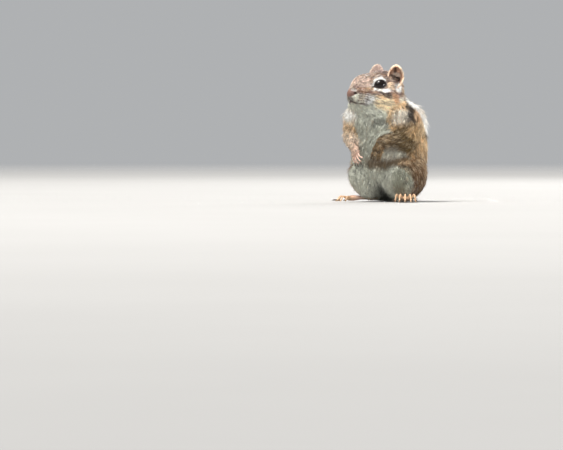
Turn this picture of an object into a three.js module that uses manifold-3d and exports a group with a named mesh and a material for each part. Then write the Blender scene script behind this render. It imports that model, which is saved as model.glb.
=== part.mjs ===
// A life-size eastern chipmunk sitting upright on its haunches, as a still museum model.
// Millimetres, +Z up. The animal's body faces -Y, its left side is +X, and its floor is z = 0.
// Every surface is the outer edge of the coat. Neighbouring pieces stand a thin seam apart.

import * as THREE from "three";
import { mergeVertices } from "three/addons/utils/BufferGeometryUtils.js";
import Module from "manifold-3d";

const wasm = await Module();
wasm.setup();

const V = (x, y, z) => new THREE.Vector3(x, y, z);
const degrees = THREE.MathUtils.degToRad;

// Driving dimensions

const seam = 0.35; // gap between neighbouring pieces
const farAway = 400; // a size that clears the whole animal

const trunk = {
  pelvis: { centre: V(0.4, 5, 19.2), radii: V(25, 24, 19.8) },
  belly: { centre: V(1.4, 3.2, 36), radii: V(27.6, 25.4, 22) },
  chest: { centre: V(1.6, 2, 52), radii: V(25.8, 21.6, 17.5) },
  rightRuff: { centre: V(-16.6, -7, 64), radii: V(11.4, 11, 12) },
  throat: { centre: V(-7, -9, 64), radii: V(13, 12.5, 12) },
  leftShoulder: { centre: V(14.6, 1.5, 59), radii: V(12.5, 13, 11) },
  neckFrom: V(-1, 0, 62),
  neckRadii: [18, 11.5],
  melt: 8, // how softly the masses run into each other
};

const head = {
  centre: V(1, 0, 82.8), // between the ears, at the height of the eyes
  turn: 37, // degrees to the animal's right
  lift: 5, // degrees, chin up
  skull: { centre: V(0, -4, 0.2), radii: V(12.2, 15.5, 10.8) },
  face: { centre: V(0, -15.6, -2.9), radii: V(9.8, 14.2, 10.9) },
  snoutFrom: V(0, -20, -6.3),
  snoutTo: V(0, -27.2, -8),
  snoutRadii: [8.2, 4.8],
  whiskerPad: { centre: V(3.5, -25, -10.8), radii: V(4.4, 5.2, 4.6) },
  jawFrom: V(0, -22.8, -15.4),
  jawTo: V(0, -8, -14.6),
  jawRadii: [3.5, 8],
  cheek: { centre: V(8.2, -8, -8.6), radii: V(7.6, 12, 9) },
  nape: V(0, 1.5, -7),
  melt: 3.5,
};

const eye = {
  centre: V(8.2, -11.8, -0.2),
  radius: 5,
  gaze: V(0.87, -0.45, 0.14),
  opening: { width: 9.2, height: 7.2 }, // between the lids
  lid: 1.1, // radius of the lid's rim
  slant: 12, // degrees that the front corner dips
};

const ear = {
  centre: V(11.6, 0.8, 7.2),
  rightTurnedForward: 3, // how much further forward the right ear is held
  up: V(0.22, 0.1, 0.97),
  opening: V(0.8, -0.58, 0.12),
  halfWidth: 5.7,
  halfHeight: 8.6,
  depth: 4.6,
  wall: 1,
};

const nose = {
  tip: V(0, -30.6, -7.8),
  radii: V(2.6, 2, 1.9),
  nostril: { centre: V(1.5, -31.5, -8.2), radii: V(0.7, 1.3, 0.55) },
};

const mouth = {
  heart: V(0, -17, 0), // the line runs round this upright axis, on the surface
  line: [
    { angle: -50, height: -15.4 },
    { angle: -34, height: -14.8 },
    { angle: -16, height: -14.2 },
    { angle: 0, height: -13.4 },
    { angle: 16, height: -14.2 },
    { angle: 36, height: -14.9 },
    { angle: 62, height: -16 },
  ],
  width: 0.8, // of the line between the lips
  depth: 2.8,
};

// Joints of each limb, outermost last. Left is +X.
const arms = {
  left: {
    shoulder: V(18.8, -6.5, 60),
    elbow: V(21.8, -13.5, 45.2),
    wrist: V(5.4, -25.8, 43),
    fingertips: V(2, -28.4, 29.6),
    palmFaces: V(-0.25, 1, 0),
  },
  right: {
    shoulder: V(-19.5, -6, 59),
    elbow: V(-22, -6.5, 46),
    wrist: V(-17.2, -21.8, 40.2),
    fingertips: V(-8.6, -26, 21.4),
    palmFaces: V(0.5, 0.9, 0.1),
  },
};
const armRadii = { shoulder: 10, elbow: 7.2, forearmTop: 6.6, wrist: 4.1, melt: 5 };

const haunches = {
  left: {
    thigh: { centre: V(18.4, -1.5, 18.2), radii: V(12.4, 21.5, 16.4), turn: 10 },
    knee: V(14.8, -16.4, 18.8),
    ankle: V(17, -12, 6),
  },
  right: {
    thigh: { centre: V(-12.6, 0, 19.5), radii: V(11.4, 20, 15.5), turn: -10 },
    knee: V(-11.4, -14.4, 19),
    ankle: V(-6.4, -11.4, 6),
  },
};
const limbsSetIn = 4.5; // how deep the limbs reach into the trunk
const haunchRadii = { knee: 8.6, ankle: 5.4, melt: 8 };

const feet = {
  left: { heel: V(16.6, -3.5, 2.3), ball: V(23.8, -22.5, 2.4), outside: V(1, 0, 0), arch: 3.7 },
  right: { heel: V(-7.2, -2.6, 2.3), ball: V(-22.6, -15.6, 2.4), outside: V(-1, 0, 0), arch: 2.6 },
};
const footSize = { heelRadius: 3.1, ballRadius: 4.4, flatness: 0.66 };
// Toes from the inner to the outer one: where they start across the ball, spread, length
const toes = [
  { across: -4, spread: -18, length: 6.4 },
  { across: -2.1, spread: -8, length: 9.2 },
  { across: 0, spread: 0, length: 9.9 },
  { across: 2.1, spread: 8, length: 9.3 },
  { across: 4, spread: 18, length: 6.8 },
];
const toeSize = { radius: 1.02, tip: 0.92, claw: 3, clawRadius: 0.6 };
const fingers = [
  { across: -2.7, spread: -13, length: 5.6 },
  { across: -0.9, spread: -4, length: 7 },
  { across: 0.9, spread: 4, length: 7 },
  { across: 2.7, spread: 13, length: 5.8 },
];
const handSize = { palmWidth: 3.5, palmThick: 2.1, palmLength: 8 };
const fingerSize = { radius: 0.87, tip: 0.78, arch: 0.9, claw: 2.2, clawRadius: 0.48 };

const tail = {
  line: [V(0, 15, 11), V(-0.5, 27, 7.6), V(-5, 43, 4.5), V(-13, 60, 3.7), V(-22, 77, 3.2), V(-27, 92, 2.4)],
  coreRadii: [7, 6.4, 5.4, 5, 4.4, 2.2],
  flatness: 0.84, // of the core, height over width
  coreRings: 9,
  coreSides: 10,
  firstTier: 0.1, // along the line, just inside the rump
  lastTier: 0.965,
  tiers: 8,
  locksRound: 6,
  fan: 215, // degrees round the tail, centred on its top
  lockLength: 22,
  lockWidth: 7.6,
  lockThick: 2,
  lie: 25, // degrees off the tail's own line at the root
};

// Sizes of the grid cells that surfaces are found on
const grain = { trunk: 5.4, core: 9, neck: 5, head: 2.15, arm: 3.6, leg: 4.8 };

const skin = { fur: 0xb08a5c, pale: 0xd8d2c0, grey: 0x8d7a62, bare: 0xc9a08a, eye: 0x0b0908, tail: 0x6e5a44 };

// Fields: each is a function of a point that is negative inside a form and measures about
// how far the point lies from its surface

function ellipsoid({ centre, radii, turn = 0 }, mirror = 1) {
  const c = Math.cos(degrees(turn));
  const s = Math.sin(degrees(turn));
  return (p) => {
    const x = p.x - mirror * centre.x;
    const y = p.y - centre.y;
    const a = (c * x + s * y) / radii.x;
    const b = (-s * x + c * y) / radii.y;
    const h = (p.z - centre.z) / radii.z;
    const k = Math.hypot(a, b, h);
    const slope = Math.hypot(a / radii.x, b / radii.y, h / radii.z);
    return slope < 1e-9 ? -Math.min(radii.x, radii.y, radii.z) : (k * (k - 1)) / slope;
  };
}

function roundCone(from, to, [start, end]) {
  const axis = to.clone().sub(from);
  const length = axis.length();
  axis.divideScalar(length);
  const lean = (start - end) / length;
  const rise = Math.sqrt(1 - lean * lean);
  return (p) => {
    const x = p.x - from.x;
    const y = p.y - from.y;
    const z = p.z - from.z;
    const along = x * axis.x + y * axis.y + z * axis.z;
    const off = Math.sqrt(Math.max(0, x * x + y * y + z * z - along * along));
    const k = along * rise - off * lean;
    if (k < 0) return Math.hypot(off, along) - start;
    if (k > length * rise) return Math.hypot(off, along - length) - end;
    return off * rise + along * lean - start;
  };
}

function melted(amount, ...fields) {
  return (p) => {
    let d = fields[0](p);
    for (let i = 1; i < fields.length; i++) {
      const e = fields[i](p);
      const h = Math.max(amount - Math.abs(d - e), 0) / amount;
      d = Math.min(d, e) - (h * h * amount) / 4;
    }
    return d;
  };
}

function placed(field, matrix) {
  const back = matrix.clone().invert();
  const q = V(0, 0, 0);
  return (p) => field(q.copy(p).applyMatrix4(back));
}

// Planes are a point and a normal. A field kept beyond them ends a little way past each one.
const overhang = 5;
const sideOf = ({ at, normal }, p) =>
  ((p.x - at.x) * normal.x + (p.y - at.y) * normal.y + (p.z - at.z) * normal.z) / normal.length();
const facing = (at, normal) => ({ at, normal });
const turnedBack = ({ at, normal }) => ({ at, normal: normal.clone().negate() });

function keptBeyond(field, planes) {
  return (p) => planes.reduce((d, plane) => Math.max(d, -sideOf(plane, p) - overhang), field(p));
}

// A closed surface where a field reaches a level: one point in each grid cell that the surface
// crosses, drawn onto the field, and a square across each grid edge that it crosses. Grow then
// moves every point straight out.
function netted(field, box, cell, { level = 0, grow = 0 } = {}) {
  const counts = box.getSize(V(0, 0, 0)).divideScalar(cell).toArray().map((n) => Math.ceil(n) + 1);
  const index = (i, j, k) => i + counts[0] * (j + counts[1] * k);
  const steps = [V(1, 0, 0), V(0, 1, 0), V(0, 0, 1)];
  const strides = [index(1, 0, 0), index(0, 1, 0), index(0, 0, 1)];
  const p = V(0, 0, 0);
  const depth = new Float32Array(counts[0] * counts[1] * counts[2]);
  const eachCell = (visit) => {
    for (let k = 0; k < counts[2]; k++) {
      for (let j = 0; j < counts[1]; j++) {
        for (let i = 0; i < counts[0]; i++) visit(index(i, j, k), [i, j, k]);
      }
    }
  };
  eachCell((n, [i, j, k]) => {
    depth[n] = field(p.set(i, j, k).multiplyScalar(cell).add(box.min)) - level;
  });

  const pointOf = new Map();
  const points = [];
  const corners = [0, 1, 2, 3, 4, 5, 6, 7].map((c) => [c & 1, (c >> 1) & 1, (c >> 2) & 1]);
  eachCell((n, at) => {
    if (at.some((value, axis) => value > counts[axis] - 2)) return;
    const sum = V(0, 0, 0);
    let crossings = 0;
    for (const corner of corners) {
      const a = n + corner[0] * strides[0] + corner[1] * strides[1] + corner[2] * strides[2];
      for (let axis = 0; axis < 3; axis++) {
        const b = a + strides[axis];
        if (corner[axis] || depth[a] < 0 === depth[b] < 0) continue;
        sum.add(V(...corner)).addScaledVector(steps[axis], depth[a] / (depth[a] - depth[b]));
        crossings++;
      }
    }
    if (!crossings) return;
    const point = sum.divideScalar(crossings).add(V(...at)).multiplyScalar(cell).add(box.min);
    pointOf.set(n, points.length);
    points.push(drawnOnto(field, level, point, cell, grow));
  });

  const triangles = [];
  eachCell((n, at) => {
    for (let axis = 0; axis < 3; axis++) {
      const b = (axis + 1) % 3;
      const c = (axis + 2) % 3;
      if (at[b] === 0 || at[c] === 0 || at[axis] > counts[axis] - 2) continue;
      const inside = depth[n] < 0;
      if (inside === depth[n + strides[axis]] < 0) continue;
      const ring = [n, n - strides[b], n - strides[b] - strides[c], n - strides[c]].map((m) => pointOf.get(m));
      if (!inside) ring.reverse();
      triangles.push(ring[0], ring[1], ring[2], ring[0], ring[2], ring[3]);
    }
  });
  const surface = new THREE.BufferGeometry().setFromPoints(points);
  surface.setIndex(triangles);
  return solid(surface);
}

function drawnOnto(field, level, point, cell, grow) {
  const probe = 0.05;
  const start = point.clone();
  const q = V(0, 0, 0);
  const across = (x, y, z) => field(q.copy(point).add(V(x, y, z))) - field(q.copy(point).sub(V(x, y, z)));
  const slopeHere = () =>
    V(across(probe, 0, 0), across(0, probe, 0), across(0, 0, probe)).divideScalar(2 * probe);
  for (let n = 0; n < 3; n++) {
    const slope = slopeHere();
    point.addScaledVector(slope, (level - field(point)) / Math.max(slope.lengthSq(), 0.1));
  }
  point.sub(start).clampLength(0, cell / 2).add(start);
  return point.addScaledVector(slopeHere().normalize(), grow);
}

const boxAround = (points, margin) => new THREE.Box3().setFromPoints(points).expandByScalar(margin);

// A frame of three directions at a place on a line. Side keeps the frames from twisting.
function frameAt(line, t, side) {
  const ahead = line.getTangentAt(t).normalize();
  const across = side.clone().addScaledVector(ahead, -side.dot(ahead)).normalize();
  return { at: line.getPointAt(t), ahead, across, over: across.clone().cross(ahead) };
}

// A closed tube along a line. Each ring is [share of the line, radius], and flat squeezes it.
function loft(points, rings, { sides, side = V(1, 0, 0), flat = 1 }) {
  const line = points.length > 2 ? new THREE.CatmullRomCurve3(points) : new THREE.LineCurve3(...points);
  const shell = new THREE.SphereGeometry(1, sides, rings.length + 1);
  const place = shell.getAttribute("position");
  for (let i = 0; i < place.count; i++) {
    const row = Math.round((Math.acos(THREE.MathUtils.clamp(place.getY(i), -1, 1)) / Math.PI) * (rings.length + 1));
    const round = Math.hypot(place.getX(i), place.getZ(i));
    const [t, radius] = row === 0 ? [1, 0] : row > rings.length ? [0, 0] : rings[rings.length - row];
    const f = frameAt(line, t, side);
    const p = f.at;
    if (radius > 0) {
      p.addScaledVector(f.across, (radius * place.getX(i)) / round);
      p.addScaledVector(f.over, (flat * radius * place.getZ(i)) / round);
    }
    place.setXYZ(i, p.x, p.y, p.z);
  }
  return shell;
}

function solid(geometry) {
  const bare = new THREE.BufferGeometry();
  bare.setAttribute("position", geometry.getAttribute("position"));
  bare.setIndex(geometry.index);
  const joined = mergeVertices(bare, 1e-4);
  return new wasm.Manifold(
    new wasm.Mesh({
      numProp: 3,
      vertProperties: joined.getAttribute("position").array,
      triVerts: new Uint32Array(joined.index.array),
    }),
  );
}

const join = (pieces) => pieces.reduce((sum, piece) => sum.add(piece));
const cutAway = (whole, pieces) => pieces.reduce((left, piece) => left.subtract(piece), whole);

// The part of space on the side of a plane that its normal points to
function beyond({ at, normal }, start = 0) {
  const block = new THREE.BoxGeometry(farAway, farAway, farAway);
  block.translate(0, 0, farAway / 2 + start);
  block.applyQuaternion(new THREE.Quaternion().setFromUnitVectors(V(0, 0, 1), normal.clone().normalize()));
  block.translate(at.x, at.y, at.z);
  return solid(block);
}

// Flat cuts that leave half a seam on each side
const trimmed = (whole, planes) => planes.reduce((left, plane) => left.intersect(beyond(plane, seam / 2)), whole);

const aboveFloor = beyond(facing(V(0, 0, 0), V(0, 0, 1)));

// The head's own frame

const headFrame = new THREE.Matrix4().compose(
  head.centre,
  new THREE.Quaternion().setFromEuler(new THREE.Euler(degrees(-head.lift), 0, degrees(-head.turn), "ZYX")),
  V(1, 1, 1),
);
const inWorld = (p) => p.clone().applyMatrix4(headFrame);
const mirrored = (p, mirror) => V(mirror * p.x, p.y, p.z);

const headField = placed(
  melted(
    head.melt,
    ellipsoid(head.skull),
    ellipsoid(head.face),
    roundCone(head.snoutFrom, head.snoutTo, head.snoutRadii),
    ellipsoid(head.whiskerPad),
    ellipsoid(head.whiskerPad, -1),
    ellipsoid(head.cheek),
    ellipsoid(head.cheek, -1),
    roundCone(head.jawFrom, head.jawTo, head.jawRadii),
    ellipsoid({ centre: nose.tip, radii: nose.radii }),
  ),
  headFrame,
);

// Trunk, neck and head run into each other in one field, and flat cuts part them.

const bodyField = melted(
  trunk.melt,
  ellipsoid(trunk.pelvis),
  ellipsoid(trunk.belly),
  ellipsoid(trunk.chest),
  ellipsoid(trunk.rightRuff),
  ellipsoid(trunk.throat),
  ellipsoid(trunk.leftShoulder),
  roundCone(trunk.neckFrom, inWorld(head.nape), trunk.neckRadii),
);
const wholeField = melted(head.melt, bodyField, headField);

const neckBase = facing(V(0, 0, 58.5), V(0, -0.15, 1));
const headWay = (x, y, z) => inWorld(V(x, y, z)).sub(head.centre);
const napeCut = facing(inWorld(V(0, 4, -8)), headWay(0, -0.56, 0.83));
const throatCut = facing(inWorld(V(0, -20, -20.4)), headWay(0.3, -0.1, 1));
const headCuts = [napeCut, throatCut];
const trunkBox = new THREE.Box3(V(-38, -34, -8), V(40, 40, 88));
const headBox = new THREE.Box3(V(-38, -40, 52), V(32, 24, 104));

const torsoField = keptBeyond(wholeField, [turnedBack(neckBase)]);
const makeTorso = () => trimmed(netted(torsoField, trunkBox, grain.trunk), [turnedBack(neckBase)]);

// The trunk drawn in by the depth that the limbs are set into it
function makeCore(grow = 0) {
  const headless = keptBeyond(wholeField, [facing(V(0, 0, 74), V(0, 0, -1))]);
  return netted(headless, trunkBox, grain.core, { level: -limbsSetIn, grow });
}


function makeNeck() {
  const field = keptBeyond(wholeField, [neckBase]);
  const belowHead = (p) => Math.max(field(p), Math.min(sideOf(napeCut, p), sideOf(throatCut, p)) - overhang);
  const box = new THREE.Box3(V(-36, -36, 48), V(38, 30, 92));
  const shell = trimmed(netted(belowHead, box, grain.neck), [neckBase]);
  return shell.subtract(beyond(napeCut, -seam / 2).intersect(beyond(throatCut, -seam / 2)));
}

// The head, with its lids, mouth and nostrils

function makeEye(mirror, grow = 0) {
  const ball = new THREE.SphereGeometry(eye.radius + grow, 16, 10);
  ball.rotateZ(degrees(mirror * -60));
  const centre = inWorld(mirrored(eye.centre, mirror));
  return solid(ball.translate(centre.x, centre.y, centre.z));
}

// A rim that hugs the eyeball, wider than it is high
function makeLids(mirror) {
  const tube = 0.2;
  const ring = new THREE.TorusGeometry(1, tube, 5, 20);
  const place = ring.getAttribute("position");
  const gaze = mirrored(eye.gaze, mirror).normalize();
  const back = V(0, 1, 0).addScaledVector(gaze, -gaze.y).normalize();
  const up = back.clone().cross(gaze).multiplyScalar(mirror).normalize();
  back.applyAxisAngle(gaze, degrees(mirror * eye.slant));
  up.applyAxisAngle(gaze, degrees(mirror * eye.slant));
  const rimRadius = eye.radius + 0.25;
  const thick = eye.lid / tube;
  for (let i = 0; i < place.count; i++) {
    const angle = Math.atan2(place.getY(i), place.getX(i));
    const out = Math.hypot(place.getX(i), place.getY(i)) - 1;
    const wide = (eye.opening.width / 2) * Math.cos(angle);
    const high = (eye.opening.height / 2) * Math.sin(angle);
    const off = Math.hypot(wide, high);
    const lift = Math.sqrt(Math.max(rimRadius ** 2 - off ** 2, 1));
    const p = mirrored(eye.centre, mirror);
    p.addScaledVector(back, wide * (1 + (out * thick) / off));
    p.addScaledVector(up, high * (1 + (out * thick) / off));
    p.addScaledVector(gaze, lift + place.getZ(i) * thick);
    p.applyMatrix4(headFrame);
    place.setXYZ(i, p.x, p.y, p.z);
  }
  const rim = solid(ring);
  return rim.volume() < 0 ? solid(turnedOut(ring)) : rim;
}

function turnedOut(geometry) {
  const index = geometry.index;
  for (let i = 0; i < index.count; i += 3) {
    const first = index.getX(i);
    index.setX(i, index.getX(i + 1));
    index.setX(i + 1, first);
  }
  return geometry;
}

// Where a ray that starts inside a form leaves it
function exitFrom(field, start, way) {
  const value = (length) => field(start.clone().addScaledVector(way, length));
  let far = 1;
  while (value(far) < 0 && far < farAway) far++;
  let near = far - 1;
  for (let n = 0; n < 12; n++) {
    const middle = (near + far) / 2;
    if (value(middle) < 0) near = middle;
    else far = middle;
  }
  return start.clone().addScaledVector(way, far);
}

// The line between the lips, cut into the head from the outside
function makeMouthCut() {
  const points = mouth.line.map(({ angle, height }) => {
    const start = inWorld(mouth.heart.clone().add(V(0, 0, height)));
    const way = headWay(Math.sin(degrees(angle)), -Math.cos(degrees(angle)), 0).normalize();
    return exitFrom(headField, start, way);
  });
  const half = mouth.width / 2;
  const rings = [0.04, 0.15, 0.3, 0.42, 0.5, 0.58, 0.7, 0.85, 0.96].map((t) => [t, half]);
  return solid(loft(points, rings, { sides: 6, side: V(0, 0, 1), flat: mouth.depth / mouth.width }));
}

function makeNostril(mirror) {
  const hole = new THREE.SphereGeometry(1, 10, 6);
  const { centre, radii } = nose.nostril;
  hole.scale(radii.x, radii.y, radii.z);
  hole.rotateZ(degrees(mirror * 28));
  hole.translate(mirror * centre.x, centre.y, centre.z);
  return solid(hole.applyMatrix4(headFrame));
}

const netHead = (grow = 0) => netted(keptBeyond(wholeField, headCuts), headBox, grain.head, { grow });

function makeHead() {
  const rimmed = join([trimmed(netHead(), headCuts), makeLids(1), makeLids(-1)]);
  return cutAway(rimmed, [makeEye(1, seam), makeEye(-1, seam), makeMouthCut(), makeNostril(1), makeNostril(-1)]);
}

// An ear is an oval cup whose foot stands on the head.
function makeEar(mirror, headSolid) {
  const wall = ear.wall;
  const rim = 0.55 * wall;
  const profile = [
    [0, -1],
    [0.42, -0.9],
    [0.78, -0.52],
    [1, 0],
    [1.02, 0.25],
  ].map(([r, d]) => new THREE.Vector2(r, d));
  const inset = wall / ear.halfWidth;
  const inner = [
    [0.98 - inset, 0.3],
    [0.96 - inset, 0.02],
    [0.7 - inset * 0.8, -0.4],
    [0.36 - inset * 0.5, -0.68],
    [0, -1 + wall / ear.depth],
  ].map(([r, d]) => new THREE.Vector2(r, d));
  const lip = new THREE.Vector2(1.01 - inset / 2, 0.25 + rim / ear.depth);
  const cup = new THREE.LatheGeometry([...profile, lip, ...inner], 18);
  const place = cup.getAttribute("position");
  const up = mirrored(ear.up, mirror).normalize();
  const opening = mirrored(ear.opening, mirror).addScaledVector(up, -mirrored(ear.opening, mirror).dot(up)).normalize();
  const across = up.clone().cross(opening).normalize();
  for (let i = 0; i < place.count; i++) {
    const x = place.getX(i);
    const y = place.getZ(i);
    const tall = y > 0 ? y : 0.96 * y;
    const narrow = 1 - 0.16 * Math.max(0, -y) - 0.1 * Math.max(0, y);
    const p = mirrored(ear.centre, mirror);
    if (mirror < 0) p.y -= ear.rightTurnedForward;
    p.addScaledVector(across, x * narrow * ear.halfWidth);
    p.addScaledVector(up, tall * ear.halfHeight);
    p.addScaledVector(opening, place.getY(i) * ear.depth);
    p.applyMatrix4(headFrame);
    place.setXYZ(i, p.x, p.y, p.z);
  }
  let shell = solid(cup);
  if (shell.volume() < 0) shell = solid(turnedOut(cup));
  return shell.subtract(headSolid);
}

// Arms

const between = (a, b, t) => a.clone().lerp(b, t);

function armFields({ shoulder, elbow, wrist }) {
  return melted(
    armRadii.melt,
    roundCone(shoulder, elbow, [armRadii.shoulder, armRadii.elbow]),
    roundCone(elbow, wrist, [armRadii.forearmTop, armRadii.wrist]),
  );
}

function makeArm(arm, grow = 0) {
  const down = arm.elbow.clone().sub(arm.shoulder).normalize();
  const ahead = arm.wrist.clone().sub(arm.elbow).normalize();
  const fold = facing(arm.elbow, down.clone().add(ahead));
  const box = boxAround([arm.shoulder, arm.elbow, arm.wrist], armRadii.shoulder + 2 * grain.arm);
  const whole = netted(armFields(arm), box, grain.arm, { grow });
  return { whole, upper: trimmed(whole, [turnedBack(fold)]), fore: trimmed(whole, [fold]) };
}

// A digit runs out from its root, arches, comes down to its pad and ends in a claw.
function makeDigit(root, ahead, up, { length, radius, tip, arch, claw, clawRadius, grow = 0 }) {
  const reach = (t, lift) => root.clone().addScaledVector(ahead, t * length).addScaledVector(up, lift);
  const pad = [reach(0.9, -0.3), reach(1, -0.35), reach(1 + claw / length, -0.75)];
  const line = [reach(-0.25, 0), reach(0.3, arch * 0.85), reach(0.62, arch), ...pad];
  const rings = [
    [0.04, radius * 0.85],
    [0.3, radius * 0.94],
    [0.56, radius],
    [0.76, tip],
    [0.81, clawRadius],
    [0.92, clawRadius * 0.6],
  ].map(([t, r]) => [t, r + grow]);
  return solid(loft(line, rings, { sides: 5, side: ahead.clone().cross(up) }));
}

function makeHand(arm, grow = 0) {
  const ahead = arm.fingertips.clone().sub(arm.wrist).normalize();
  const inward = arm.palmFaces.clone().addScaledVector(ahead, -arm.palmFaces.dot(ahead)).normalize();
  const across = ahead.clone().cross(inward);
  const { palmWidth, palmThick, palmLength } = handSize;
  const back = arm.wrist.clone().addScaledVector(ahead, -2);
  const knuckles = arm.wrist.clone().addScaledVector(ahead, palmLength);
  const palm = loft(
    [back, knuckles],
    [[0.06, 0.55], [0.2, 0.78], [0.45, 0.84], [0.7, 1], [0.88, 0.92], [0.97, 0.6]].map(([t, r]) => [t, r * palmWidth + grow]),
    { sides: 8, side: across, flat: palmThick / palmWidth },
  );
  const pieces = [solid(palm)];
  for (const { across: shift, spread, length } of fingers) {
    const root = knuckles.clone().addScaledVector(across, shift).addScaledVector(ahead, -1.2);
    const way = ahead.clone().applyAxisAngle(inward, degrees(spread));
    pieces.push(makeDigit(root, way, inward.clone().negate(), { length, ...fingerSize, grow }));
  }
  return join(pieces);
}

// Hind legs

function haunchField({ thigh, knee, ankle }) {
  return melted(
    haunchRadii.melt,
    ellipsoid(thigh),
    roundCone(knee, ankle, [haunchRadii.knee, haunchRadii.ankle]),
  );
}

function makeHaunch(leg, grow = 0) {
  const { centre, radii } = leg.thigh;
  const kneeCut = facing(between(leg.knee, centre, 0.2), V(0, -0.9, -0.42));
  const box = boxAround([centre], Math.max(...radii.toArray()) + haunchRadii.knee);
  const whole = netted(haunchField(leg), box, grain.leg, { grow });
  return { whole, thigh: trimmed(whole, [turnedBack(kneeCut)]), shin: trimmed(whole, [kneeCut]) };
}

function makeFoot({ heel, ball, outside, arch }, grow = 0) {
  const ahead = V(ball.x - heel.x, ball.y - heel.y, 0).normalize();
  const up = V(0, 0, 1);
  const across = ahead.clone().cross(up);
  if (across.dot(outside) < 0) across.negate();
  const { heelRadius, ballRadius, flatness } = footSize;
  const sole = loft(
    [heel.clone().addScaledVector(ahead, -1.5), between(heel, ball, 0.5).add(V(0, 0, 0.4)), ball.clone().addScaledVector(ahead, 2)],
    [
      [0.03, 0.55 * heelRadius],
      [0.12, 0.95 * heelRadius],
      [0.3, heelRadius],
      [0.55, 0.96 * heelRadius],
      [0.78, ballRadius],
      [0.92, ballRadius * 0.9],
      [0.985, ballRadius * 0.55],
    ].map(([t, r]) => [t, r + grow]),
    { sides: 10, side: across, flat: flatness },
  );
  const pieces = [solid(sole)];
  for (const { across: shift, spread, length } of toes) {
    const root = ball.clone().addScaledVector(across, shift);
    root.z = toeSize.radius;
    const turn = across.clone().cross(ahead).z > 0 ? -spread : spread;
    const way = ahead.clone().applyAxisAngle(up, degrees(turn));
    pieces.push(makeDigit(root, way, up, { length, arch, ...toeSize, grow }));
  }
  return join(pieces);
}

// Tail: a flattened core with tiers of flat locks that lie towards its tip

function seeded(seed) {
  let state = seed;
  return () => {
    state = (state * 1664525 + 1013904223) % 4294967296;
    return state / 4294967296;
  };
}

// Radius of the core at a share of the line, drawn in at both ends
function coreRadius(t) {
  const count = tail.coreRadii.length - 1;
  const low = Math.min(Math.floor(t * count), count - 1);
  const radius = THREE.MathUtils.lerp(tail.coreRadii[low], tail.coreRadii[low + 1], t * count - low);
  return radius * Math.min(1, Math.sqrt(t / 0.06), Math.sqrt((1 - t) / 0.06));
}

function makeTailCore() {
  const rings = [];
  for (let i = 0; i < tail.coreRings; i++) {
    const t = 0.015 + (0.97 * i) / (tail.coreRings - 1);
    rings.push([t, coreRadius(t)]);
  }
  return solid(loft(tail.line, rings, { sides: tail.coreSides, flat: tail.flatness }));
}

function makeTailLocks() {
  const random = seeded(7);
  const line = new THREE.CatmullRomCurve3(tail.line);
  const locks = [];
  for (let tier = 0; tier < tail.tiers; tier++) {
    const t = THREE.MathUtils.lerp(tail.firstTier, tail.lastTier, tier / (tail.tiers - 1));
    const f = frameAt(line, t, V(1, 0, 0));
    const grown = Math.min(1, 0.75 + 0.08 * tier);
    for (let k = 0; k < tail.locksRound; k++) {
      const share = (k + (tier % 2 ? 0.75 : 0.25)) / tail.locksRound;
      const angle = degrees(90 + tail.fan * (share - 0.5) + 8 * (random() - 0.5));
      const out = f.across.clone().multiplyScalar(Math.cos(angle)).add(V(0, 0, Math.sin(angle)));
      const flatter = 1 - 0.35 * Math.abs(Math.sin(angle));
      const length = tail.lockLength * grown * (0.86 + 0.28 * random());
      const lie = degrees(tail.lie * flatter + 5 * (random() - 0.5));
      const root = f.at.clone().addScaledVector(out, coreRadius(t) * 0.35);
      const bend = (reach, ease) =>
        root
          .clone()
          .addScaledVector(out, reach * length * Math.sin(lie) * ease)
          .addScaledVector(f.ahead, reach * length * Math.cos(lie));
      const points = [root, bend(0.35, 1.2), bend(0.7, 1.08), bend(1, 0.9)];
      const half = (tail.lockWidth / 2) * (0.9 + 0.3 * random());
      const rings = [[0.04, half * 0.75], [0.4, half], [0.72, half * 0.62]];
      locks.push(solid(loft(points, rings, { sides: 4, side: f.across, flat: tail.lockThick / tail.lockWidth })));
    }
  }
  return locks;
}

// Assembly

function largest(whole) {
  const bodies = whole.decompose();
  return bodies.reduce((best, body) => (body.volume() > best.volume() ? body : best));
}

function toMesh(name, whole, colour, roughness = 0.95) {
  const kept = largest(whole).getMesh();
  const geometry = new THREE.BufferGeometry();
  const place = new Float32Array(kept.numVert * 3);
  for (let i = 0; i < kept.numVert; i++) {
    place.set(kept.vertProperties.subarray(i * kept.numProp, i * kept.numProp + 3), i * 3);
  }
  geometry.setAttribute("position", new THREE.BufferAttribute(place, 3));
  geometry.setIndex(new THREE.BufferAttribute(kept.triVerts, 1));
  const mesh = new THREE.Mesh(geometry, new THREE.MeshStandardMaterial({ color: colour, roughness, metalness: 0 }));
  mesh.name = name;
  return mesh;
}

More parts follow.
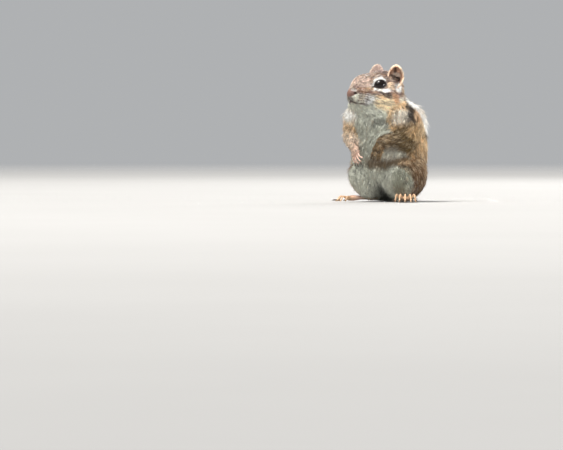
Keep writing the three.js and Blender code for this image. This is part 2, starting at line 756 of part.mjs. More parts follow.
function makeChipmunk() {
  const animal = new THREE.Group();
  const limbGauges = [];
  const core = makeCore();
  const coreGauge = makeCore(-seam);
  const add = (name, whole, colour, roughness) => animal.add(toMesh(name, whole, colour, roughness));

  for (const side of ["left", "right"]) {
    const handGauge = makeHand(arms[side], seam);
    const footGauge = makeFoot(feet[side], seam);
    const arm = makeArm(arms[side]);
    const leg = makeHaunch(haunches[side]);
    add(`hand_${side}`, makeHand(arms[side]), skin.bare);
    add(`forearm_${side}`, cutAway(arm.fore, [core, handGauge]), skin.grey);
    add(`upper_arm_${side}`, arm.upper.subtract(core), skin.fur);
    add(`foot_${side}`, makeFoot(feet[side]).intersect(aboveFloor), skin.bare);
    add(`shin_${side}`, cutAway(leg.shin, [core, footGauge]).intersect(aboveFloor), skin.pale);
    add(`thigh_${side}`, cutAway(leg.thigh, [core, footGauge]).intersect(aboveFloor), skin.fur);
    const sockets = [makeArm(arms[side], seam).whole, makeHaunch(haunches[side], seam).whole];
    limbGauges.push(handGauge, footGauge, ...sockets.map((socket) => socket.subtract(coreGauge)));
  }

  const headSolid = cutAway(makeHead(), limbGauges);
  const headGauge = netHead(seam);
  add("head", headSolid, skin.fur);
  for (const [name, mirror] of [["left", 1], ["right", -1]]) {
    add(`eye_${name}`, makeEye(mirror), skin.eye, 0.1);
    add(`ear_${name}`, makeEar(mirror, headGauge), skin.fur);
  }
  add("neck", cutAway(makeNeck(), limbGauges), skin.pale);
  add("torso", cutAway(makeTorso(), limbGauges).intersect(aboveFloor), skin.pale);

  const rump = netted(torsoField, trunkBox, grain.trunk, { grow: seam });
  const tailCoat = join([makeTailCore(), ...makeTailLocks()]);
  add("tail", cutAway(tailCoat, [rump]).intersect(aboveFloor), skin.tail);
  return animal;
}

// The origin is on the floor, under the middle of the whole animal.
const chipmunk = makeChipmunk();
const whole = new THREE.Box3().setFromObject(chipmunk);
const middle = whole.getCenter(V(0, 0, 0));
chipmunk.position.set(-middle.x, -middle.y, -whole.min.z);

export default chipmunk;
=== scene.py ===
# A life-size eastern chipmunk sitting up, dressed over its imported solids.
# Shapes are worked out in millimetres in the animal's own frame: it faces -Y, its left is +X and the
# floor is z = 0. They are moved into the row frame and into metres when a piece is made.

import math
import time

import bmesh
import bpy
import numpy as np
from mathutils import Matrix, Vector
from mathutils.bvhtree import BVHTree
from mathutils.kdtree import KDTree


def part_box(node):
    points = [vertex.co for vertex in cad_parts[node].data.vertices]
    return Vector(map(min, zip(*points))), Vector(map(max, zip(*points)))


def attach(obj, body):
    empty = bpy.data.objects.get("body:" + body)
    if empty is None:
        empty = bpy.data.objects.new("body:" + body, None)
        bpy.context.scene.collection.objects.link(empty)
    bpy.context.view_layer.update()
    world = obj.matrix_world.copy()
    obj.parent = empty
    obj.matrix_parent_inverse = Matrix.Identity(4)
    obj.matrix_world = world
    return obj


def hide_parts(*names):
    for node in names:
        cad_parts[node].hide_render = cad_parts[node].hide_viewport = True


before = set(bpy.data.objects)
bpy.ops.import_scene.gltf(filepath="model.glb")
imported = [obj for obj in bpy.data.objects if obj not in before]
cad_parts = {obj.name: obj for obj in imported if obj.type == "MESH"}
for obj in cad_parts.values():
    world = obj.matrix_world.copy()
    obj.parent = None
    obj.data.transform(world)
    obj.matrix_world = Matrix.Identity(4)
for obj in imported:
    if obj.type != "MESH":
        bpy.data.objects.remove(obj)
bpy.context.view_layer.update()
started = time.time()
sides = (("left", 1), ("right", -1))


def report(stage):
    print(f"{time.time() - started:6.1f} s  {stage}")


# Small helpers on arrays of points

def arr(*values):
    return np.array(values, float)


def lengths(v):
    return np.linalg.norm(v, axis=-1)


def unit(v):
    return v / np.maximum(np.linalg.norm(v, axis=-1, keepdims=True), 1e-9)


def dots(a, b):
    return np.einsum("ij,ij->i", a, b)[:, None]


def ramp(x, low, high):
    # rises smoothly from 0 to 1
    t = np.clip((x - low) / (high - low), 0, 1)
    return t * t * (3 - 2 * t)


def fall(x, low, high):
    return 1 - ramp(x, low, high)


def bell(x, width):
    return np.exp(-(x / width) ** 2)


def mix(a, b, t):
    return a + (b - a) * t


def folded(q):
    # both halves of the body laid on its left
    return np.stack([np.abs(q[:, 0]), q[:, 1], q[:, 2]], 1)


def noise(points, size, seed=0):
    # smooth noise from -1 to 1, the same on every run
    p = points / size + 31.7 * seed
    cell = np.floor(p).astype(np.int64)
    f = p - cell
    f = f * f * (3 - 2 * f)
    total = np.zeros(len(points))
    for corner in range(8):
        step = np.array([corner & 1, corner >> 1 & 1, corner >> 2 & 1])
        c = cell + step
        n = (c[:, 0] * 73856093) ^ (c[:, 1] * 19349663) ^ (c[:, 2] * 83492791) ^ (seed * 9973 + 7)
        n = (n ^ (n >> 13)) * 1274126177
        n = (n ^ (n >> 16)) & 0xffff
        total += (n / 32767.5 - 1) * np.where(step, f, 1 - f).prod(1)
    return total


def awayFromLine(points, line):
    # how far each point is from a line of points, and how far along the line it lies (0 to 1)
    best, along = np.full(len(points), 1e9), np.zeros(len(points))
    line = np.asarray(line, float)
    steps = lengths(np.diff(line, axis=0))
    start = np.concatenate([[0], np.cumsum(steps)]) / steps.sum()
    for i in range(len(line) - 1):
        way = line[i + 1] - line[i]
        t = np.clip(((points - line[i]) @ way) / (way @ way), 0, 1)
        gap = lengths(points - line[i] - t[:, None] * way)
        near = gap < best
        best = np.where(near, gap, best)
        along = np.where(near, mix(start[i], start[i + 1], t), along)
    return best, along


# The animal's own places, as its solids have them

head = {
    "centre": arr(1, 0, 82.8),
    "turn": 37,  # degrees to the animal's right
    "lift": 5,  # degrees, chin up
}
eye = {
    "centre": arr(8.2, -11.8, -0.8),
    "radius": 4.9,
    "gaze": arr(0.87, -0.45, 0.14),
    "opening": (7.5, 5.5),  # between the lids
    "slant": 12,  # degrees that the front corner dips
    "lid": 0.24,
}
ear = {
    "centre": arr(11.2, -0.8, 5.8),
    "rightPlace": arr(0, -1.5, 1.3),  # from the left ear's, mirrored
    "rightLeansBack": 0.36,
    "rightOpening": arr(-0.95, -0.1, 0.1),
    "up": arr(0.14, -0.06, 0.98),
    "opening": arr(0.8, -0.58, 0.12),
    "halfWidth": 5.5,
    "halfHeight": 8.3,
    "depth": 4.5,
    "wall": 0.75,
    "profile": ((0, 0.22, 0.42, 0.62, 0.78, 0.9, 1, 1.02),  # out from the middle, and depth there
                (-1, -0.97, -0.9, -0.73, -0.52, -0.27, 0, 0.25)),
}
arms = {
    "left": {
        "shoulder": arr(18.8, -6.5, 60),
        "elbow": arr(21.8, -13.5, 45.2),
        "wrist": arr(5.4, -25.8, 43),
        "fingertips": arr(2, -28.4, 29.6),
        "palmFaces": arr(-0.25, 1, 0),
        "fingersSpread": 0.12,
    },
    "right": {
        "shoulder": arr(-19.5, -6, 59),
        "elbow": arr(-22, -6.5, 46),
        "wrist": arr(-17.2, -21.8, 40.2),
        "fingertips": arr(-8.6, -26, 21.4),
        "palmFaces": arr(0.5, 0.9, 0.1),
        "fingersSpread": 0.85,
    },
}
legs = {
    "left": {"hip": arr(20, 10, 26), "knee": arr(14.8, -16.4, 18.8), "ankle": arr(17, -12, 6)},
    "right": {"hip": arr(-16, 10, 26), "knee": arr(-11.4, -14.4, 19), "ankle": arr(-6.4, -11.4, 6)},
}
feet = {
    "left": {"heel": arr(16.6, -3.5, 2.1), "ball": arr(22.9, -22.5, 2.0), "outside": 1, "arch": 4.1},
    "right": {"heel": arr(-7.2, -2.6, 2.1), "ball": arr(-22.6, -15.6, 2.0), "outside": -1, "arch": 2.5},
}
for limb in arms.values():
    limb["ahead"] = unit(limb["fingertips"] - limb["wrist"])
    limb["inward"] = unit(limb["palmFaces"] - limb["ahead"] * (limb["palmFaces"] @ limb["ahead"]))
for limb in feet.values():
    limb["ahead"] = unit((limb["ball"] - limb["heel"]) * arr(1, 1, 0))
tailLine = np.array([(0, 15, 11), (-0.5, 27, 7.6), (-5, 43, 4.5), (-13, 60, 3.7), (-22, 77, 3.2),
                     (-27, 92, 2.4)], float)

a, b = math.radians(-head["lift"]), math.radians(-head["turn"])
aboutX = np.array([[1, 0, 0], [0, math.cos(a), -math.sin(a)], [0, math.sin(a), math.cos(a)]])
aboutZ = np.array([[math.cos(b), -math.sin(b), 0], [math.sin(b), math.cos(b), 0], [0, 0, 1]])
headTurn = aboutZ @ aboutX


def fromHead(q):
    return head["centre"] + np.asarray(q, float) @ headTurn.T


def inHead(p):
    return (p - head["centre"]) @ headTurn


def mirrored(q, side):
    return np.asarray(q, float) * arr(side, 1, 1)


low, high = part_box("eye_left")
originShift = np.array((low + high) / 2) * 1000 - fromHead(eye["centre"])


# Making pieces

def linked(name, data):
    piece = bpy.data.objects.new(name, data)
    bpy.context.scene.collection.objects.link(piece)
    return piece


def quickMesh(name, points, faces, uv=None, colours=None):
    # points in the own frame and in mm; faces is an array of triangles or of quads
    mesh = bpy.data.meshes.new(name)
    faces = np.asarray(faces, np.int32)
    mesh.vertices.add(len(points))
    mesh.vertices.foreach_set("co", ((points + originShift) * 0.001).astype(np.float32).ravel())
    mesh.loops.add(faces.size)
    mesh.loops.foreach_set("vertex_index", faces.ravel())
    mesh.polygons.add(len(faces))
    mesh.polygons.foreach_set("loop_start", np.arange(0, faces.size, faces.shape[1], dtype=np.int32))
    mesh.update(calc_edges=True)
    mesh.validate()
    mesh.polygons.foreach_set("use_smooth", np.ones(len(mesh.polygons), bool))
    if uv is not None:
        layer = mesh.uv_layers.new(name="OFBake")
        layer.data.foreach_set("uv", uv.astype(np.float32).ravel())
    if colours is not None:
        layer = mesh.color_attributes.new("markingsAndShading", "FLOAT_COLOR", "POINT")
        rgba = np.ones((len(points), 4), np.float32)
        rgba[:, :3] = colours
        layer.data.foreach_set("color", rgba.ravel())
    return mesh


def placePiece(mesh, material, slot, *replaced):
    piece = linked(mesh.name, mesh)
    piece.data.materials.append(material)
    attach(piece, "root")
    if replaced:
        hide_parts(*replaced)


def triangles(quads):
    return np.concatenate([quads[:, [0, 1, 2]], quads[:, [0, 2, 3]]])


def arraysOf(work):
    # points and triangles of a bmesh, which is then freed
    bmesh.ops.triangulate(work, faces=work.faces)
    work.verts.ensure_lookup_table()
    points = np.array([v.co for v in work.verts], float)
    faces = np.array([[v.index for v in f.verts] for f in work.faces], int)
    work.free()
    return points, faces


def nodeSurface(name):
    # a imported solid's points, welded, with its triangles
    work = bmesh.new()
    work.from_mesh(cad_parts[name].data)
    bmesh.ops.remove_doubles(work, verts=work.verts, dist=1e-6)
    points, faces = arraysOf(work)
    return points * 1000 - originShift, faces


def crossOf(points, faces):
    a, b, c = (points[faces[:, k]] for k in range(3))
    return np.cross(b - a, c - a)


def cornerNormals(points, faces):
    across = crossOf(points, faces)
    return unit(np.stack([np.bincount(faces.ravel(), np.repeat(across[:, k], 3), len(points))
                          for k in range(3)], 1))


def joined(parts):
    base = np.cumsum([0] + [len(p) for p, _ in parts])
    return np.concatenate([p for p, _ in parts]), np.concatenate([f + b for (_, f), b in zip(parts, base)])


def remeshed(points, faces, voxel):
    mesh = quickMesh("work", points, faces)
    piece = linked("work", mesh)
    modifier = piece.modifiers.new("remesh", "REMESH")
    modifier.mode = "VOXEL"
    modifier.voxel_size = voxel * 0.001
    made = piece.evaluated_get(bpy.context.evaluated_depsgraph_get()).to_mesh()
    newPoints, quads = np.empty(len(made.vertices) * 3, np.float32), np.empty(len(made.loops), np.int32)
    made.vertices.foreach_get("co", newPoints)
    made.loops.foreach_get("vertex_index", quads)
    bpy.data.objects.remove(piece)
    bpy.data.meshes.remove(mesh)
    return largestShell(newPoints.reshape(-1, 3).astype(float) * 1000 - originShift,
                        quads.reshape(-1, 4).astype(int))


def edgesOf(faces):
    around = np.concatenate([faces[:, [k, (k + 1) % faces.shape[1]]] for k in range(faces.shape[1])])
    return np.unique(np.sort(around, axis=1), axis=0)


def largestShell(points, faces):
    edges = edgesOf(faces)
    label, new = None, np.arange(len(points))
    while label is None or (new != label).any():
        label = new
        lowest = np.minimum(label[edges[:, 0]], label[edges[:, 1]])
        new = label.copy()
        np.minimum.at(new, edges[:, 0], lowest)
        np.minimum.at(new, edges[:, 1], lowest)
        new = new[new]
    kept = label == np.bincount(label).argmax()
    index = np.cumsum(kept) - 1
    return points[kept], index[faces[kept[faces[:, 0]]]]


class Net:
    # neighbours on a mesh, for smoothing what is stored at its points
    def __init__(self, faces, count):
        self.edges = edgesOf(faces)
        self.count = count
        self.around = np.maximum(np.bincount(self.edges.ravel(), minlength=count), 1)

    def mean(self, values):
        a, b = self.edges[:, 0], self.edges[:, 1]
        if values.ndim == 1:
            total = np.bincount(a, values[b], self.count) + np.bincount(b, values[a], self.count)
            return total / self.around
        return np.stack([self.mean(values[:, k]) for k in range(values.shape[1])], 1)

    def smooth(self, values, rounds, share=0.5):
        share = np.asarray(share)
        weight = share[:, None] if share.ndim and values.ndim > 1 else share
        for _ in range(rounds):
            values = values + weight * (self.mean(values) - values)
        return values


def gridFaces(rows, around, closed=False):
    # two triangles a cell, over rows of points that run round; a closed grid's last row joins its first
    row, k = np.divmod(np.arange((rows if closed else rows - 1) * around), around)
    here, there = row * around, (row + 1) % rows * around
    b = (k + 1) % around
    return np.stack([here + k, here + b, there + b, here + k, there + b, there + k], 1).reshape(-1, 3)


def shellFaces(points, rows, around):
    # a grid closed by two more points at its ends, its faces turned outwards
    k = np.arange(around)
    b, end = (k + 1) % around, (rows - 1) * around
    first = np.full(around, rows * around)
    caps = np.stack([b, k, first, end + k, end + b, first + 1], 1).reshape(-1, 3)
    faces = np.concatenate([gridFaces(rows, around), caps])[:, ::-1]
    a, b, c = (points[faces[:, k]] for k in range(3))
    return faces if dots(a, np.cross(b, c)).sum() > 0 else faces[:, ::-1]


# Closed tubes along smooth lines, for fingers, toes, claws, the tail's core and whiskers

def smoothLine(points, count):
    points = np.asarray(points, float)
    if len(points) < 3:
        t = np.linspace(0, 1, count)[:, None]
        return points[0] * (1 - t) + points[-1] * t
    padded = np.vstack([2 * points[0] - points[1], points, 2 * points[-1] - points[-2]])
    t = np.linspace(0, 1, 24, endpoint=False)[:, None]
    fine = []
    for i in range(1, len(padded) - 2):
        a, b, c, d = padded[i - 1: i + 3]
        fine.append(0.5 * (2 * b + (c - a) * t + (2 * a - 5 * b + 4 * c - d) * t ** 2
                           + (3 * b - a - 3 * c + d) * t ** 3))
    fine = np.vstack(fine + [points[-1:]])
    length = np.concatenate([[0], np.cumsum(lengths(np.diff(fine, axis=0)))])
    at = np.linspace(0, length[-1], count)
    return np.stack([np.interp(at, length, fine[:, k]) for k in range(3)], 1)


def tube(points, radii, side, rings=12, around=10, flat=1.0):
    # radii is a list of (share of the line, radius); both ends close to a point
    line = smoothLine(points, rings)
    radius = np.interp(np.linspace(0, 1, rings), *zip(*radii))
    ahead = unit(np.gradient(line, axis=0))
    side = np.asarray(side, float)
    across = unit(side - ahead * (ahead @ side)[:, None])
    over = np.cross(across, ahead)
    turn = np.linspace(0, 2 * np.pi, around, endpoint=False)
    ring = (line[:, None] + radius[:, None, None] * (np.cos(turn)[None, :, None] * across[:, None]
            + flat * np.sin(turn)[None, :, None] * over[:, None])).reshape(-1, 3)
    p = np.vstack([ring, line[:1], line[-1:]])
    return p, shellFaces(p, rings, around)


# Hands and feet, a little inside their solids

# in both lists: how far across, how far turned out in degrees, length
toes = {
    "list": [(-4.3, -30, 6.6), (-2.2, -14, 9.2), (0, 0, 9.9), (2.2, 14, 9.3), (4.3, 30, 7.0)],
    "radius": 0.66, "tip": 0.7, "claw": 2.4, "clawRadius": 0.36,
}
fingers = {
    "list": [(-2.8, -17, 6.0), (-0.95, -6, 7.6), (0.95, 6, 7.6), (2.8, 17, 6.2)],
    "radius": 0.64, "tip": 0.7, "arch": 0.9, "claw": 2.4, "clawRadius": 0.36,
}
palm = {"wide": 3.2, "thick": 1.9, "long": 8,
        "shape": ((0, 0.4), (0.06, 0.55), (0.2, 0.76), (0.45, 0.84), (0.7, 1), (0.88, 0.92), (0.97, 0.6),
                  (1, 0.3))}
sole = {"heel": 2.8, "ball": 3.9, "flatness": 0.5,
        "heelShape": ((0, 0.2), (0.03, 0.55), (0.12, 0.95), (0.3, 1), (0.55, 0.96)),
        "ballShape": ((0.78, 1), (0.92, 0.9), (0.985, 0.55), (1, 0.3))}
digitShape = ((0, 0.5), (0.06, 0.95), (0.3, 1.05), (0.42, 0.9), (0.6, 1.08), (0.74, 0.86))
clawShape = ((0, 1), (0.35, 0.86), (0.7, 0.5), (0.92, 0.2))


def scaled(shape, size):
    return [(share, radius * size) for share, radius in shape]


def turnedAbout(v, axis, degrees):
    a = math.radians(degrees)
    return v * math.cos(a) + np.cross(axis, v) * math.sin(a) + axis * (axis @ v) * (1 - math.cos(a))


def digit(root, ahead, up, length, size, arch):
    def path(*spots):
        return [root + ahead * t * length + up * lift for t, lift in spots]
    side = np.cross(ahead, up)
    line = path((-0.25, 0), (0.12, arch * 0.5), (0.34, arch * 0.95), (0.62, arch), (0.86, -0.05),
                (1.06, -0.34))
    radii = scaled(digitShape, size["radius"]) + scaled(((0.88, 1), (0.96, 0.72)), size["tip"]) + [(1, 0.1)]
    flesh = tube(line, radii, side, 22, 12, 0.96)
    pad = tube(path((0.78, -0.62), (1.02, -0.72)), [(0, 0.1), (0.3, 0.72), (0.7, 0.66), (1, 0.1)], side, 8,
               flat=0.6)
    c = size["claw"] / length
    claw = tube(path((0.93, 0.12), (1 + 0.45 * c, 0.22), (1 + 0.85 * c, -0.22), (1 + c, -0.75)),
                scaled(clawShape, size["clawRadius"]) + [(1, 0.02)], side, 12, 8, 1.25)
    return [flesh, pad], claw


def makeHand(arm):
    ahead, inward, wrist = arm["ahead"], arm["inward"], arm["wrist"]
    across = np.cross(ahead, inward)
    knuckles = wrist + ahead * palm["long"]
    flesh, claws = [tube([wrist - ahead * 2.5, knuckles], scaled(palm["shape"], palm["wide"]), across,
                         20, 20, palm["thick"] / palm["wide"])], []
    for shift, spread, length in fingers["list"]:
        root = knuckles + across * shift - ahead * 1.2
        way = turnedAbout(ahead, inward, -spread * arm["fingersSpread"])
        knuckle = tube([root - ahead * 2.2 - inward * 0.7, root + way * 1.6 - inward * 0.7],
                       [(0, 0.2), (0.5, 0.95), (1, 0.2)], across, 8, 10, 0.8)
        parts, claw = digit(root, way, -inward, length, fingers, fingers["arch"])
        pad = tube([root + inward * 1.0 - ahead * 1.6, root + inward * 0.9 + way * 0.8],
                   [(0, 0.1), (0.5, 0.9), (1, 0.1)], across, 7, 10, 0.7)
        flesh += [knuckle, pad] + parts
        claws.append(claw)
    thumb = tube([knuckles - ahead * 5.4 + across * 2.2 + inward * 0.6,
                  knuckles - ahead * 3.6 + across * 3.2 + inward * 1.3],
                 [(0, 0.5), (0.4, 0.85), (0.8, 0.6), (1, 0.1)], inward, 8)
    return flesh + [thumb], claws


def makeFoot(foot):
    heel, ball, ahead, up = foot["heel"], foot["ball"], foot["ahead"], arr(0, 0, 1)
    across = np.cross(ahead, up)
    if across[0] * foot["outside"] < 0:
        across = -across
    middle = (heel + ball) / 2 + up * 0.4
    radii = scaled(sole["heelShape"], sole["heel"]) + scaled(sole["ballShape"], sole["ball"])
    flesh = [tube([heel - ahead * 1.5, middle, ball + ahead * 2], radii, across, 28, 22, sole["flatness"])]
    claws = []
    for shift, spread, length in toes["list"]:
        root = ball + across * shift
        root[2] = toes["radius"] + 0.1
        way = turnedAbout(ahead, up, -spread if np.cross(across, ahead)[2] > 0 else spread)
        parts, claw = digit(root, way, up, length, toes, foot["arch"])
        tendon = tube([root - ahead * 9 - across * shift * 0.45 + up * 2.2,
                       root + way * 0.8 + up * (0.9 + 0.25 * foot["arch"])],
                      [(0, 0.2), (0.3, 0.7), (0.8, 0.85), (1, 0.3)], across, 12, 8)
        flesh += parts + [tendon]
        claws.append(claw)
    return flesh, claws


# The body's skin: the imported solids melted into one, smoothed and drawn in by the coat's depth

fleshNodes = ["torso", "neck", "head"] + [f"{part}_{side}" for side, _ in sides
                                          for part in ("upper_arm", "forearm", "thigh", "shin")]
coatDepth = {"torso": 2.2, "neck": 2.3, "head": 1.0, "upper_arm": 1.9, "forearm": 1.1, "thigh": 2.2,
             "shin": 1.7, "tail": 0.5}
skinSize = {"voxel": 0.68, "overlap": 0.3, "bodyRounds": 90, "headRounds": 12, "lowest": 0.4,
            "handVoxel": 0.34, "footVoxel": 0.42}
wristRadii = [(0, 3.5), (0.4, 3.6), (0.75, 3.3), (1, 1.2)]
ankleRadii = [(0, 4.6), (0.5, 4.2), (1, 2.6)]
tailRadii = [(0, 6.2), (0.2, 5.7), (0.4, 4.9), (0.6, 4.4), (0.8, 3.8), (0.96, 1.9), (1, 0.6)]

surfaces = {name: nodeSurface(name) for name in fleshNodes}
grown = [(points + cornerNormals(points, faces) * skinSize["overlap"], faces)
         for points, faces in surfaces.values()]
for _, side in sides:
    plug = bmesh.new()
    bmesh.ops.create_uvsphere(plug, u_segments=24, v_segments=16, radius=eye["radius"] + 0.3)
    ball, faces = arraysOf(plug)
    grown.append((ball + fromHead(mirrored(eye["centre"], side)), faces))
for side, _ in sides:
    arm, ankle, foot = arms[side], legs[side]["ankle"], feet[side]
    wrist = arm["wrist"]
    grown.append(tube([mix(arm["elbow"], wrist, 0.75), wrist, wrist + arm["ahead"] * 3.5],
                      wristRadii, arr(1, 0, 0.3), 16, 16))
    instep = mix(foot["heel"], foot["ball"], 0.42)
    grown.append(tube([ankle + arr(0, 2, 3), mix(ankle, instep, 0.6), instep + arr(0, 0, 0.6)],
                      ankleRadii, arr(1, 0, 0), 12, 16))
tailCore = tube(np.vstack([[(0, 8, 14)], tailLine]), tailRadii, arr(1, 0, 0), 60, 20, 0.84)
tailCore[0][:, 2] = np.maximum(tailCore[0][:, 2], 0.5)
grown.append(tailCore)
bodyPoints, bodyQuads = remeshed(*joined(grown), skinSize["voxel"])
report(f"one surface of {len(bodyQuads)} quads")

# each point belongs to the node whose surface is nearest
parts = [surfaces[name] for name in fleshNodes] + [tailCore]
owner = np.repeat(np.arange(len(parts)), [len(faces) for _, faces in parts])
tree = BVHTree.FromPolygons(*(values.tolist() for values in joined(parts)))
region = owner[np.array([tree.find_nearest(p)[2] for p in bodyPoints.tolist()])]
regionNames = fleshNodes + ["tail"]
kindOf = [name.replace("_left", "").replace("_right", "") for name in regionNames]
net = Net(bodyQuads, len(bodyPoints))


def inNode(name):
    return (region == regionNames.index(name)).astype(float)


soft = np.clip(1 - net.smooth(inNode("head"), 25) * 1.3 - 0.6 * net.smooth(inNode("tail"), 12), 0.0, 1)
bodyPoints = net.smooth(bodyPoints, skinSize["headRounds"], 0.5)
bodyPoints = net.smooth(bodyPoints, skinSize["bodyRounds"], 0.5 * soft)
depth = np.array([coatDepth[kind] for kind in kindOf])[region]
q = inHead(bodyPoints)
depth = mix(depth, 0.3, ramp(-q[:, 1], 12, 27) * inNode("head"))
depth = mix(depth, 0.15, fall(lengths(folded(q) - eye["centre"]), 5.2, 9))
for arm in arms.values():
    depth = mix(depth, 0.6, fall(lengths(bodyPoints - arm["wrist"]), 3, 11))
depth = net.smooth(depth, 30)
bodyPoints = bodyPoints - cornerNormals(bodyPoints, triangles(bodyQuads)) * depth[:, None]
bodyPoints = net.smooth(bodyPoints, 6, 0.5 * soft)
# the belly stands back between the legs, with a fold beside each leg
between = {"middle": -0.2, "top": 20, "depth": 8.5, "folds": 1.6, "foldWidth": 2.1}
foldLines = ([(6.2, -19, 26), (5.0, -19, 18), (4.4, -17, 10)],
             [(-5.0, -19, 25), (-6.4, -19, 17), (-8, -17, 10)])
x, y, z = bodyPoints.T
halfWidth = np.interp(z, [0, 4, 9, between["top"]], [6.6, 6.0, 4.4, 2.4])
gapHere = np.exp(-((x - between["middle"]) / halfWidth) ** 4) * fall(z, 5, between["top"]) * fall(y, -7, 3)
for fold in foldLines:
    y = y + between["folds"] * bell(awayFromLine(bodyPoints, fold)[0], between["foldWidth"])
bodyPoints[:, 1] = y + between["depth"] * gapHere
bodyPoints = net.smooth(bodyPoints, 5, 0.5 * soft)
bodyPoints[:, 2] = np.maximum(bodyPoints[:, 2], skinSize["lowest"])
report("skin drawn in")


# The face: sockets for the eyes, the nose pad with its nostrils, the mouth and the whisker pads

def eyeFrame(side):
    gaze = unit(mirrored(eye["gaze"], side))
    back = unit(arr(0, 1, 0) - gaze * gaze[1])
    up = np.cross(back, gaze) * side
    slant = math.radians(eye["slant"]) * side
    back, up = (v * math.cos(slant) + np.cross(gaze, v) * math.sin(slant) for v in (back, up))
    return gaze, back, up


def aroundEye(q, side):
    # how far a point lies from the middle of the opening, 1 on the lids' edge, and how far from the ball's
    gaze, back, up = eyeFrame(side)
    p = q - mirrored(eye["centre"], side)
    share = np.hypot(p @ back / (eye["opening"][0] / 2), p @ up / (eye["opening"][1] / 2))
    return np.where(p @ gaze > 0, share, 9), lengths(p)


def fromNearerEye(q):
    return np.minimum(aroundEye(q, 1)[0], aroundEye(q, -1)[0])


face = {
    "nostril": arr(3.6, -28.6, -8.6),
    "noseCrease": [(0, -32.6, -4.6), (1.4, -31.6, -3.5), (3.0, -29.4, -2.0), (4.0, -27.4, -2.2)],
    "lipSide": [(1.6, -32.0, -10.6), (2.8, -30.6, -12.2), (3.8, -28, -14.0)],
    "pad": (arr(0, -30.6, -8.5), arr(5.3, 4.9, 2.45)),  # middle, half sizes
    "mouthLine": [(-7.6, -21.5, -15.6), (-6.3, -24.6, -14.9), (-3.6, -28, -14.2), (-1.2, -29.4, -13.6),
                  (0, -29.7, -13.0), (1.2, -29.4, -13.6), (3.6, -28, -14.2), (6.3, -24.6, -14.9),
                  (7.6, -21.5, -15.6)],
    "philtrum": [(0, -32.3, -9.6), (0, -31.2, -11.2), (0, -30.2, -13)],
}
sculpt = {
    # how far the skin moves outwards (mm), and how wide that is
    "mouth": (-0.9, 0.55),
    "philtrum": (-0.45, 0.5),
    "nostril": (-1.5, 1.0),
    "crease": (-0.5, 0.6),
    "lips": ((0.35, 1.1), (0.3, -1.2)),  # each swelling's height, and how far above the mouth it is
    "nostrilSize": arr(0.7, 1.1, 0.62),
    "wing": 0.35,
    "wingPlace": arr(0.1, 0.1, 1.0),  # from the nostril
    "wingSize": arr(0.9, 1.5, 0.7),
}
socket = {"sunk": 1.0, "lidsStand": 0.3, "reach": 2.6}  # mm, mm, and a share as aroundEye gives it


def padShare(q):
    middle, size = face["pad"]
    return lengths((q - middle) / size)


def refineWhere(points, quads, wanted):
    # splits the faces around wanted points in four, with the edge rows closed by triangles
    work = bmesh.new()
    mesh = bpy.data.meshes.new("work")
    mesh.from_pydata(points.tolist(), [], quads.tolist())
    work.from_mesh(mesh)
    work.verts.ensure_lookup_table()
    chosen = set(np.nonzero(wanted)[0].tolist())
    edges = [e for e in work.edges if e.verts[0].index in chosen and e.verts[1].index in chosen]
    bmesh.ops.subdivide_edges(work, edges=edges, cuts=1, use_grid_fill=True, smooth=0)
    bpy.data.meshes.remove(mesh)
    return arraysOf(work)


def treeOf(points, faces):
    return BVHTree.FromPolygons(points.tolist(), faces.tolist())


def nearestOf(points, known):
    # which known point is nearest to each point
    index = KDTree(len(known))
    for k, p in enumerate(known.tolist()):
        index.insert(p, k)
    index.balance()
    return np.array([index.find(p)[1] for p in points.tolist()])


q = inHead(bodyPoints)
muzzle = (q[:, 1] < -19) & (q[:, 2] > -19)
eyes = lengths(folded(q) - eye["centre"]) < 7.6
finePoints, bodyFaces = refineWhere(bodyPoints, bodyQuads, (muzzle | eyes) & (inNode("head") > 0))
report(f"face refined, {len(bodyFaces)} triangles")
region = region[nearestOf(finePoints, bodyPoints)]
net = Net(bodyFaces, len(finePoints))

q = inHead(finePoints)
fine = ((q[:, 1] < -18) & (q[:, 2] > -20)) * inNode("head")
bodyPoints = net.smooth(finePoints, 4, 0.5 * fine)
normals = cornerNormals(bodyPoints, bodyFaces)
q = inHead(bodyPoints)
nostril = np.array(treeOf(q, bodyFaces).find_nearest(face["nostril"].tolist())[0])


def carved(name, off):
    amount, width = sculpt[name]
    return amount * bell(off, width)


def swelling(height, above):
    return height * np.exp(-((overMouth - above) / 0.9) ** 2 - (off / 2.2) ** 2)


off, _ = awayFromLine(q, face["mouthLine"])
overMouth = q[:, 2] - np.interp(q[:, 0], *np.array(face["mouthLine"]).T[[0, 2]])
push = carved("mouth", off) + sum(swelling(*lip) for lip in sculpt["lips"])
push += carved("philtrum", awayFromLine(q, face["philtrum"])[0])
for _, side in sides:
    push += carved("nostril", lengths((q - mirrored(nostril, side)) / sculpt["nostrilSize"]))
    wing = (q - mirrored(nostril + sculpt["wingPlace"], side)) / sculpt["wingSize"]
    push += sculpt["wing"] * np.exp(-(wing ** 2).sum(1))
push += carved("crease", awayFromLine(folded(q), face["noseCrease"])[0])
isPad = fall(padShare(q), 0.9, 1.12)
bodyPoints = bodyPoints + normals * (push * inNode("head"))[:, None]

